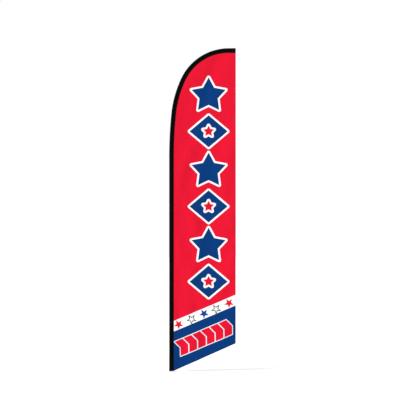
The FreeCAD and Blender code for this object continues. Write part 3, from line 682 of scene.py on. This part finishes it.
# ---- Sheets of cloth cut from a flat outline ----
def cut_flat(outline, regions, step):
    """Triangles of a flat outline; each keeps the number of the last region over it, or -1."""
    points, faces = [], []
    for shape in [outline] + regions:
        fine = divided(shape, step)
        faces.append(list(range(len(points), len(points) + len(fine))))
        points.extend(fine)
    near = search_tree([(x, z, 0.0) for x, z in points])
    (low_x, low_z), (high_x, high_z) = np.min(outline, axis=0), np.max(outline, axis=0)
    row_step = step * sqrt(0.75)
    for j in range(int((high_z - low_z) / row_step) + 1):
        for i in range(int((high_x - low_x) / step) + 1):
            place = (low_x + (i + (j % 2) / 2) * step, low_z + j * row_step)
            if near.find((*place, 0.0))[2] > step * 0.45:
                points.append(place)
    result = geometry.delaunay_2d_cdt([Vector(point) for point in points], [], faces, 0, 1e-7)
    flat, _, triangles, _, _, owners = result
    kept = [triangle for triangle, owner in zip(triangles, owners) if 0 in owner]
    tops = np.array([max(owner) - 1 for owner in owners if 0 in owner])
    plane, kept = used_only(flat, kept)
    kept = np.array(kept)
    first, second, third = (plane[kept[:, k]] for k in range(3))
    area = ((second - first)[:, 0] * (third - first)[:, 1]
            - (second - first)[:, 1] * (third - first)[:, 0])
    kept[area < 0] = kept[area < 0][:, ::-1]
    return plane, kept, tops, float(np.abs(area).sum() / 2)


def layers(plane, sideways, thickness):
    """Front and back points of a sheet over a flat cut's points, moved sideways."""
    return [np.column_stack([plane[:, 0], sideways + side * thickness / 2, plane[:, 1]])
            for side in (-1, 1)]


# ---- The printed cloth ----
SEAM_TUCK = 0.0270  # the cloth's edge inside the seam, from the sleeve's line
FLY_TUCK = 0.0006  # the same, inside the folds of the two hems
FOOT_TUCK = 0.0009
MESH_STEP = 0.0115
BEND_LENGTHS = evenly(STRAIGHT, BEND_END, 120)[::-1]


def panel_outline():
    """Anticlockwise outline of the printed cloth: one edge in the seam, two inside their hems."""
    fly, foot = FLY_EDGE - FLY_TUCK, FLAG_BOTTOM + FOOT_TUCK
    bend = [beside(length, SEAM_TUCK) for length in BEND_LENGTHS]
    return [(SEAM_TUCK, foot), (PANEL_EDGE, foot), (fly, FLY_LOW + FLY_TUCK),
            (fly, beside(LINE_END, SEAM_TUCK)[1])] + bend


def height_at(line, x):
    """Height at x of a slanted line, given at the pole's axis with its rise per metre."""
    return line[0] + line[1] * x


def band_strip(top, low):
    """Anticlockwise strip between two slanted lines, wider than the flag."""
    left, right = -0.1, 1.0
    return [(left, height_at(low, left)), (right, height_at(low, right)),
            (right, height_at(top, right)), (left, height_at(top, left))]


def seam_strip():
    """Strip of cloth that the seam covers; its edge keeps the ripples out of the seam."""
    lengths = [BEND_END + 0.2, *BEND_LENGTHS, -0.1]
    inner = [beside(length, SEAM_TUCK - 0.01) for length in lengths]
    return inner + [beside(length, SEAM_IN + 0.0004) for length in lengths[::-1]]


def column_figures():
    """Six blue figures with white outlines: fat stars, and lozenges with a star window."""
    regions = []
    for k in range(FIGURE_COUNT):
        centre_z = FIGURE_TOP - FIGURE_PITCH * k
        if k % 2:
            figure, window = lozenge(*LOZENGE), star(*WINDOW_STAR)
            shapes = [("white", grown(figure, OUTLINE)), ("blue", figure),
                      ("white", grown(window, OUTLINE)), ("red", window)]
        else:
            figure = moved(star(*LARGE_STAR), 0.0, -LARGE_STAR_DROP)
            shapes = [("white", grown(figure, OUTLINE)), ("blue", figure)]
        regions += [(ink, moved(shape, COLUMN_X, centre_z)) for ink, shape in shapes]
    return regions


def band_stars():
    """Five small stars on the white band: solid ones, and outlined ones between them."""
    regions = []
    for k, centre in enumerate(SMALL_STARS):
        if k % 2:
            shapes = [("grey", star(*GREY_STAR, first=270.0)),
                      ("white", star(*GREY_STAR_INSIDE, first=270.0))]
        else:
            shapes = [("star_blue" if k == 2 else "red", star(*SOLID_STAR, first=270.0))]
        regions += [(ink, moved(shape, *centre)) for ink, shape in shapes]
    return regions


def foot_chevrons():
    """Slanted row of red chevrons with one pale outline round them all."""
    length = (CHEVRON_COUNT - 1) * CHEVRON_PITCH + CHEVRON[0] + CHEVRON[1]
    bars = [moved(moved(chevron(*CHEVRON), k * CHEVRON_PITCH - length / 2, 0.0),
                  *CHEVRON_CENTRE, SLANT) for k in range(CHEVRON_COUNT)]
    outlines = [("pale", grown(bar, CHEVRON_OUTLINE)) for bar in bars]
    return outlines + [("red", bar) for bar in bars]


def print_regions():
    """Inks and outlines of the print, later ones over earlier ones, on a red field."""
    ground = [("red", seam_strip()),
              ("white", band_strip(BAND_TOP, BAND_LOW)),
              ("blue", band_strip(BAND_LOW, (-1.0, BAND_LOW[1])))]
    return ground + column_figures() + band_stars() + foot_chevrons()


def make_flag_print():
    regions = print_regions()
    inks = list(INKS)
    plane, triangles, tops, area = cut_flat(panel_outline(), [shape for _, shape in regions],
                                            MESH_STEP)
    indices = [inks.index("red" if top < 0 else regions[top][0]) for top in tops]
    materials = [f"print_{ink}" for ink in inks] + [f"print_{ink}_back" for ink in inks]
    sideways = ripple(plane[:, 0], plane[:, 1])
    piece = closed_sheet("flag_print", *layers(plane, sideways, CLOTH), triangles, materials,
                         indices, len(inks))
    return soft_piece(piece, "flag_panel"), area


# ---- Hems of the printed cloth, turned to the back ----
HEM = 0.014
HEM_STITCH = 0.0115  # from the hem's edge to its row of stitches
HEM_SLOPE = 1.1  # the bottom hem is this much taller, because its edge slants
FLY_HEM_PUFF = 1.2  # how far the fly hem stands off, and how much flatter it is in the seam
FLY_HEM_PRESSED = 0.45
TOP_SEAM = beside(LINE_END, SEAM_IN)[1]  # height of the seam's edge at the fly
HEM_LOOP = ((0.0010, -0.00026), (0.0002, -0.00024), (-0.0001, 0.0), (0.0, 0.0005), (0.0006, 0.0009),
            (0.0070, 0.00085), (0.0130, 0.0009), (0.0138, 0.0007), (0.0140, 0.0004),
            (0.0136, 0.00018), (0.0070, 0.00018), (0.0006, 0.00018), (0.0003, 0.0),
            (0.0005, -0.00017), (0.0010, -0.00018))


def band_ink(height):
    """Ink of the ground at a height on the fly edge."""
    if height > height_at(BAND_TOP, FLY_EDGE):
        return "red"
    return "white" if height > height_at(BAND_LOW, FLY_EDGE) else "blue"


def make_hem(name, stations, inward, inks, puffs):
    """Folded strip along an edge: stations on the edge, the direction into the cloth, and how
    far the fold puffs up at each station."""
    rings = []
    for (x, z), puff in zip(stations, puffs):
        for depth, lift in HEM_LOOP:
            rings.append((x + depth * inward[0], lift * puff, z + depth * inward[1]))
    rings = np.array(rings)
    rings[:, 1] += ripple(rings[:, 0], rings[:, 2])
    faces = carried_faces(len(stations), len(HEM_LOOP))
    face_inks = [ink for ink in inks for _ in HEM_LOOP] + [inks[0], inks[-1]]
    materials = [f"print_{ink}" for ink in INKS]
    piece = make_piece(name, rings, faces, materials, [list(INKS).index(ink) for ink in face_inks])
    return soft_piece(piece, "flag_panel")


def fly_stations():
    """Points up the fly edge into the seam, with one at each edge of the white band."""
    heights = evenly(FLY_LOW, TOP_SEAM + 0.0075, 330)
    heights += [height_at(edge, FLY_EDGE) for edge in (BAND_TOP, BAND_LOW)]
    return [(FLY_EDGE, height) for height in sorted(heights)]


def bottom_stations():
    """Points along the bottom edge, from the seam to the fly."""
    slope = (FLY_LOW - FLAG_BOTTOM) / (FLY_EDGE - PANEL_EDGE)
    places = evenly(SEAM_IN + 0.0011, FLY_EDGE, 72)
    return [(x, FLAG_BOTTOM + 0.0002 + slope * (x - PANEL_EDGE)) for x in places]


def make_hems():
    fly, bottom = fly_stations(), bottom_stations()
    middles = [(low[1] + high[1]) / 2 for low, high in zip(fly, fly[1:])]
    puffs = [FLY_HEM_PUFF - FLY_HEM_PRESSED * smooth_step(z, TOP_SEAM - 0.004, TOP_SEAM)
             for _, z in fly]
    return [make_hem("fly_hem", fly, (-1.0, -BAND_TOP[1]), [band_ink(z) for z in middles], puffs),
            make_hem("bottom_hem", bottom, (0.0, HEM_SLOPE), ["blue"] * (len(bottom) - 1),
                     [1.0] * len(bottom))]


# ---- Sewing ----
STITCH = 0.0042
STITCH_PITCH = 0.0056
SHORT_STITCHES = (0.0045, 0.0034)  # pitch and length
TAB_STITCHES = (0.0034, 0.0026)
THREAD = 0.00034
THREAD_RISE = 0.35 * THREAD  # a stitch's middle stands off the cloth by this
THREAD_DIP = 0.4 * THREAD  # its ends lie in the cloth by this
FRONT = (-1, CLOTH / 2)  # side of the flag, and how far its face is from the middle
FLY_BACK = (1, 0.00105)
BOTTOM_BACK = (1, 0.00088)


def stitch_row(points, normals, pitch=STITCH_PITCH, length=STITCH):
    """Stitches along a polyline on the cloth: small spindles whose ends dip into it."""
    points, normals = np.asarray(points), np.asarray(normals)
    steps = np.linalg.norm(np.diff(points, axis=0), axis=1)
    travelled = np.concatenate([[0.0], np.cumsum(steps)])
    count = int(travelled[-1] / pitch)

    def at(distance, values):
        return np.array([np.interp(distance, travelled, values[:, k]) for k in range(3)])

    corners, faces = [], []
    for k in range(count):
        middle = (k + 0.5) * travelled[-1] / count
        start, end = at(middle - length / 2, points), at(middle + length / 2, points)
        along = (end - start) / (np.linalg.norm(end - start) + 1e-12)
        out = at(middle, normals)
        out = out / np.linalg.norm(out)
        side = np.cross(along, out)
        base = len(corners)
        corners.append(start - out * THREAD_DIP)
        for share in (0.22, 0.78):
            centre = start + (end - start) * share + out * THREAD_RISE
            for angle in (0.25, 0.75, 1.25, 1.75):
                turn = angle * pi
                corners.append(centre + THREAD * (side * cos(turn) + out * sin(turn)))
        corners.append(end - out * THREAD_DIP)
        for j in range(4):
            after = (j + 1) % 4
            faces.append((base, base + 1 + j, base + 1 + after))
            faces.append((base + 1 + j, base + 5 + j, base + 5 + after, base + 1 + after))
            faces.append((base + 9, base + 5 + after, base + 5 + j))
    return corners, faces


def make_stitches(name, rows, materials):
    """One piece of several stitch rows, each with its own thread."""
    points, faces, indices = [], [], []
    used = sorted(set(materials))
    for (corners, row_faces), material in zip(rows, materials):
        faces += [tuple(len(points) + corner for corner in face) for face in row_faces]
        indices += [used.index(material)] * len(row_faces)
        points += corners
    piece = make_piece(name, points, faces, used, indices)
    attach(piece, "pole")
    return piece


def on_print(places, side, lift):
    """Points and normals on the printed cloth's front (side -1) or back (side 1)."""
    x, z = np.array(places).T
    points = np.column_stack([x, ripple(x, z) + side * lift, z])
    return points, np.tile([0.0, float(side), 0.0], (len(points), 1))


def make_hem_stitches():
    """Rows along both hems, front and back, in thread that matches the ground's ink."""
    rows, threads = [], []
    drop = BAND_TOP[1] * HEM_STITCH
    fly = [(x - HEM_STITCH, z - drop) for x, z in fly_stations() if z - drop < TOP_SEAM - 0.002]
    bottom = [(x, z + HEM_STITCH * HEM_SLOPE) for x, z in bottom_stations()][1:]
    edges = [0.0, height_at(BAND_LOW, FLY_EDGE), height_at(BAND_TOP, FLY_EDGE), cad_box[1].z]
    near = 1e-6
    for low, high, ink in zip(edges, edges[1:], ("blue", "white", "red")):
        part = [place for place in fly if low - near <= place[1] + drop <= high + near]
        for side, lift in (FRONT, FLY_BACK):
            rows.append(stitch_row(*on_print(part, side, lift)))
            threads.append(f"thread_{ink}")
    for side, lift in (FRONT, BOTTOM_BACK):
        rows.append(stitch_row(*on_print(bottom, side, lift)))
        threads.append("thread_blue")
    return make_stitches("hem_stitches", rows, threads)


# ---- The sleeve and its reinforcements ----
FIN = 0.0265  # where the sleeve's two sides meet, from its line
SLEEVE_INSET = -0.0002  # from the outer fold's line to the middle of the sleeve's cloth
PATCH_LIFT = 0.00068  # from the middle of the sleeve's cloth to that of a patch on it
FIN_HALF = 0.00095  # from the flag's plane to the middle of the sleeve's seam cloth
FLAP_HALF = 0.00042  # the same, to the edge that is turned under
FLAP_END = 0.0287
TAB_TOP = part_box("retaining_tab")[1].z
CUFF_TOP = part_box("foot_cuff")[1].z - 0.0015
POCKET_START = length_at(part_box("tip_pocket")[0].x)
CAP_END = length_at(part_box("tip_cap")[1].x)
FIN_COLUMNS = (SEAM_IN - 0.0006, 0.0340, 0.0315, 0.0291, FIN)
SIDE_COLUMNS = 8
ROUND_COLUMNS = 18
OUTER_ROW, INNER_ROW = 4, 6  # columns of the two seam rows, counted from the turned-under edge
CUFF_ROWS = (CUFF_TOP - 0.004, CUFF_TOP - 0.010)  # rows of stitches round the sleeve
FOOT_ROW = FLAG_BOTTOM + 0.008
POCKET_ROWS = (POCKET_START + 0.004, LINE_END - 0.010, LINE_END - 0.005)
NOTCH_HALF, NOTCH_TOP = 0.0068, FLAG_BOTTOM + 0.0165
NOTCH_DEEP = 0.010  # cells this far behind the flag's plane are on the sleeve's back
END_PRESS = 0.35  # how much flatter the sleeve is sewn at its closed end
HEM_RISE = 0.0007  # how far a patch's edge rises to clear the fly hem
HEAD_RADII = ((0.0, 0.01575), (STRAIGHT + 0.004, 0.01575), (STRAIGHT + 0.06, 0.0135),
              (STRAIGHT + 0.92, 0.0112), (STRAIGHT + 1.05, 0.0092),
              (POCKET_START - 0.05, 0.0080), (POCKET_START - 0.01, 0.0090),
              (CAP_END + 0.001, 0.0088), (CAP_END + 0.014, 0.0022), (LINE_END, 0.0010))
GATHER = 0.0005  # depth of the gathers at the seam, and what the bends add to it
BEND_GATHER = 0.0009
SLACK = 0.0014  # depth of the slack folds and of the creases
CREASE = 0.0007
DEEPEST = 0.0004  # no fold goes in further, because the pole is there


def head_radius(length):
    """Radius of the sleeve round the pole: it closes in as the pole's sections get thinner."""
    return float(np.interp(length, *zip(*HEAD_RADII)))


def sleeve_half(length, lift):
    """Section of one side of the sleeve, from the turned-under edge to the outer fold.

    A patch, which lies on the sleeve by its lift, wraps round that edge instead, and its own
    edge rises over the fly hem."""
    radius = head_radius(length) + lift
    centre = head_radius(length) + SLEEVE_INSET - SLEEVE_OUT
    end = smooth_step(length, CAP_END + 0.004, LINE_END - 0.004)
    fin_half = FIN_HALF + lift
    if lift:
        edge = SEAM_IN + lift
        low = FLAP_HALF + HEM_RISE * smooth_step(length, LINE_END - HEM - 0.004, LINE_END - HEM)
        points = [(edge, low), (edge, (low + fin_half) / 2), (edge - 0.0002, fin_half - 0.0002)]
    else:
        middle = (FLAP_HALF + FIN_HALF) / 2
        points = [(FLAP_END, FLAP_HALF), (SEAM_IN - 0.0006, FLAP_HALF), (SEAM_IN, middle)]
    points += [(u, fin_half) for u in FIN_COLUMNS]
    reach = hypot(FIN - centre, fin_half)
    touch = atan2(fin_half, FIN - centre) + acos(radius / reach)
    tangent = (centre + radius * cos(touch), radius * sin(touch))
    for k in range(1, SIDE_COLUMNS):
        share = k / SIDE_COLUMNS
        points.append((FIN + (tangent[0] - FIN) * share,
                       fin_half + (tangent[1] - fin_half) * share))
    points += arc(radius, touch, pi - touch, ROUND_COLUMNS, centre)
    return [(u, w * (1.0 - END_PRESS * end)) for u, w in points]


def pucker(length, column, count, side):
    """Small folds: gathers beside the seam, tighter round the bends, and soft slack folds."""
    first = 3 + len(FIN_COLUMNS)
    if column < first:
        return 0.0
    share = (column - first) / (count - 1 - first)
    bend = smooth_step(length, STRAIGHT + 0.3, STRAIGHT + 0.9)
    start = smooth_step(share, 0.0, 0.12)
    gather = noise.noise(Vector((length / 0.009, side * 5.0, share * 1.5)))
    slack = noise.noise(Vector((length / 0.07 + share * 1.3, side * 9.0 + 3.0, share * 2.2)))
    creases = abs(noise.noise(Vector((length / 0.035 - share * 2.0, side * 7.0 + 11.0, share))))
    near_seam = start * (1.0 - smooth_step(share, 0.1, 0.5))
    loose = smooth_step(length, TAB_TOP, TAB_TOP + 0.05)
    body = start * loose * (1.0 - smooth_step(share, 0.55, 0.95))
    fold = (gather * near_seam * (GATHER + BEND_GATHER * bend) + slack * body * SLACK
            - creases * body * CREASE)
    return max(fold, -DEEPEST)


def sleeve_surface(stations, lift):
    """Grid of points over the sleeve: one ring a station, seam edge to seam edge."""
    rings = []
    for length in stations:
        half = sleeve_half(length, lift)
        x, z, heading = line_point(length)
        front, back = [], []
        for side, ring in ((-1, front), (1, back)):
            for column, (u, w) in enumerate(half):
                w += pucker(length, column, len(half), side)
                ring.append((x + u * cos(heading), side * w, z - u * sin(heading)))
        rings.append(front + back[-2::-1])
    return np.array(rings)


def grid_normals(grid):
    """Unit normals of a grid of points, out of the sleeve."""
    normals = np.cross(np.gradient(grid, axis=0), np.gradient(grid, axis=1))
    return normals / (np.linalg.norm(normals, axis=2, keepdims=True) + 1e-12)


def notch_cells(grid):
    """True for cells of the notch at the foot's back, where the bush's hook comes through."""
    x, y, z = np.moveaxis(grid[:-1, :-1] + grid[1:, :-1] + grid[:-1, 1:] + grid[1:, 1:], 2, 0) / 4
    return (y > NOTCH_DEEP) & (abs(x) < NOTCH_HALF) & (z < NOTCH_TOP)


def spaced(start, end, step):
    """Numbers from start to end, no further apart than a step."""
    return evenly(start, end, max(1, ceil((end - start) / step)))


# Stations along the line; the sleeve has those of the patches where they lie on it
CUFF_STATIONS = spaced(FLAG_BOTTOM, NOTCH_TOP, 0.0033) + spaced(NOTCH_TOP, CUFF_TOP, 0.006)[1:]
POCKET_STATIONS = spaced(POCKET_START, LINE_END, 0.0025)
SLEEVE_STATIONS = (CUFF_STATIONS + spaced(CUFF_TOP, POCKET_START, 0.0085)[1:]
                   + [length for length in POCKET_STATIONS[1:] if length < POCKET_START + 0.0125])


def sleeve_layer(node, stations, lift, material):
    """One layer of the sleeve: its piece, its grid of points and its stations."""
    grid = sleeve_surface(stations, lift)
    outer, inner = ((grid + side * grid_normals(grid) * NYLON / 2).reshape(-1, 3)
                    for side in (1, -1))
    wide = grid.shape[1]
    corners = np.arange(grid[..., 0].size).reshape(-1, wide)[:-1, :-1][~notch_cells(grid)]
    faces = [(corner, corner + wide, corner + wide + 1, corner + 1) for corner in corners]
    piece = closed_sheet(f"{node}_cloth", outer, inner, faces, [material])
    return soft_piece(piece, node), grid, stations


def make_sleeve():
    return sleeve_layer("pole_sleeve", SLEEVE_STATIONS, 0.0, "sleeve_nylon")


def make_cuff():
    return sleeve_layer("foot_cuff", CUFF_STATIONS, PATCH_LIFT, "cuff_nylon")


def make_pocket():
    return sleeve_layer("tip_pocket", POCKET_STATIONS, PATCH_LIFT, "cuff_nylon")


def along_columns(grid, column, first, last):
    """Seam row on a grid: one column, from one ring to another."""
    outs = grid_normals(grid)[first:last, column]
    return grid[first:last, column] + outs * NYLON / 2, outs


def across_ring(grid, stations, length, columns):
    """Row of stitches round the sleeve at a length along its line, over some of its columns."""
    place = float(np.interp(length, stations, range(len(stations))))
    low = min(int(place), len(stations) - 2)
    share = place - low
    normals = grid_normals(grid)
    points = grid[low, columns] * (1 - share) + grid[low + 1, columns] * share
    outs = normals[low, columns] * (1 - share) + normals[low + 1, columns] * share
    return points + outs * NYLON / 2, outs


def nearest_index(stations, length):
    return int(np.argmin(np.abs(np.array(stations) - length)))


def make_seam_stitches(sleeve, cuff, pocket):
    """Black rows: two along the whole seam on each face, and rows round the cuff and the pocket."""
    rows = []
    for (_, grid, stations), low, high in ((sleeve, CUFF_TOP + 0.003, POCKET_START - 0.002),
                                           (cuff, FLAG_BOTTOM + 0.003, CUFF_TOP - 0.001),
                                           (pocket, POCKET_START + 0.001, LINE_END - 0.002)):
        first, last = nearest_index(stations, low), nearest_index(stations, high) + 1
        columns = grid.shape[1]
        for column in (OUTER_ROW, INNER_ROW):
            for place in (column, columns - 1 - column):
                rows.append(stitch_row(*along_columns(grid, place, first, last)))
    round_all = np.arange(3, columns - 3)
    for length in CUFF_ROWS:
        rows.append(stitch_row(*across_ring(*cuff[1:], length, round_all)))
    front_half = np.arange(3, columns // 2 + 6)
    rows.append(stitch_row(*across_ring(*cuff[1:], FOOT_ROW, front_half)))
    for length in POCKET_ROWS:
        rows.append(stitch_row(*across_ring(*pocket[1:], length, round_all), *SHORT_STITCHES))
    return make_stitches("seam_stitches", rows, ["thread_black"] * len(rows))


# ---- Retaining tab on the cuff's back ----
TAB_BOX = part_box("retaining_tab")
EYELET_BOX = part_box("tab_eyelet")
TAB_HALF = TAB_BOX[1].x
TAB_THICK = TAB_BOX[1].y - TAB_BOX[0].y
TAB_MIDDLE = (TAB_BOX[1].y + TAB_BOX[0].y) / 2
EYELET_Z = (EYELET_BOX[0].z + EYELET_BOX[1].z) / 2
EYELET_HOLE = 0.0056
TAB_STEP = 0.0016
WRAP_START, WRAP_END = EYELET_Z + 0.009, EYELET_Z + 0.024  # where it bends round the cuff
ROUND_CENTRE = head_radius(0.0) + SLEEVE_INSET - SLEEVE_OUT  # x of the middle of the tube


def tab_depth(x, z):
    """Middle of the webbing: flat at the eyelet, wrapped round the cuff where it is sewn on."""
    radius = TAB_MIDDLE + 0.0001
    wrapped = sqrt(radius ** 2 - (x - ROUND_CENTRE) ** 2)
    share = smooth_step(z, WRAP_START, WRAP_END)
    return TAB_MIDDLE + (wrapped - TAB_MIDDLE) * share


def make_tab():
    """Webbing strip with a round end and a hole for its eyelet."""
    low = arc(TAB_HALF, pi, pi, 24, up=EYELET_Z)
    outline = low + [(TAB_HALF, TAB_BOX[1].z), (-TAB_HALF, TAB_BOX[1].z)]
    hole = arc(EYELET_HOLE, 0.0, tau, 32, up=EYELET_Z)[:-1]
    plane, triangles, tops, _ = cut_flat(outline, [hole], TAB_STEP)
    sideways = np.array([tab_depth(x, z) for x, z in plane])
    piece = closed_sheet("retaining_tab_webbing", *layers(plane, sideways, TAB_THICK),
                         triangles[tops < 0], ["webbing_weave"])
    return soft_piece(piece, "retaining_tab")


def make_tab_stitches():
    """Box stitch with a cross, where the webbing is sewn to the cuff."""
    side, low, high = TAB_HALF - 0.0022, EYELET_Z + 0.022, TAB_BOX[1].z - 0.0025
    corners = [(-side, low), (side, low), (side, high), (-side, high)]
    rows = []
    for start, end in ((0, 1), (1, 2), (2, 3), (3, 0), (0, 2), (1, 3)):
        count = ceil(dist(corners[start], corners[end]) / 0.001)
        places = np.linspace(corners[start], corners[end], count + 1)
        points = [(x, tab_depth(x, z) + TAB_THICK / 2, z) for x, z in places]
        normals = [((x - ROUND_CENTRE) / TAB_MIDDLE, 1.0, 0.0) for x, _ in places]
        rows.append(stitch_row(points, normals, *TAB_STITCHES))
    return make_stitches("tab_stitches", rows, ["thread_black"] * len(rows))


# ---- Button springs: hairpin leaves of spring steel ----
LEAF_THICK = 0.0006
LEAF_EDGE = 0.0005  # how far the leaf's pointed edges stand out


def make_leaf(joint):
    """Hairpin leaf, its bend at the bottom."""
    node, button = f"{joint}_button_spring", f"{joint}_button"
    low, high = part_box(node)
    reach = high.x - LEAF_THICK / 2
    bend_z = low.z + LEAF_THICK / 2 + reach
    wide, half = high.y - LEAF_EDGE, LEAF_THICK / 2
    line = [(reach, z, 0.0) for z in evenly(high.z, bend_z, 12)[:-1]]
    line += [(reach * cos(turn), bend_z - reach * sin(turn), turn)
             for turn in evenly(0.0, pi, 24)]
    line += [(-reach, z, pi) for z in evenly(bend_z, high.z, 12)[1:]]
    profile = [(half, -wide), (0.0, -wide - LEAF_EDGE), (-half, -wide), (-half, wide),
               (0.0, wide + LEAF_EDGE), (half, wide)]
    points = []
    for x, z, turn in line:
        for out, across in profile:
            points.append((x + out * cos(turn), across, z - out * sin(turn)))
    piece = make_piece(f"{joint}_spring_leaf", points, carried_faces(len(line), len(profile)),
                       ["spring_steel_finish"], flat=True)
    button_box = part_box(button)
    button_z = (button_box[0].z + button_box[1].z) / 2
    span, leg = Vector((2 * reach, 0.0, bend_z - high.z)), button_z - bend_z
    across = Vector((-span.z, 0.0, span.x)).normalized()
    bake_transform(piece)
    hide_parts(node)


make_camera()
make_lights()
make_floor()
make_materials()
dress_frame()
sleeve_line = search_tree([(*line_point(length)[:2], 0.0)
                           for length in evenly(0.0, LINE_END, 1600)])
ripples = simulate_ripples()

flag_print, print_area = make_flag_print()
hems = make_hems()
hem_stitches = make_hem_stitches()
sleeve = make_sleeve()
cuff = make_cuff()
pocket = make_pocket()
seam_stitches = make_seam_stitches(sleeve, cuff, pocket)
tab = make_tab()
tab_stitches = make_tab_stitches()
for joint in ("lower", "upper"):
    make_leaf(joint)
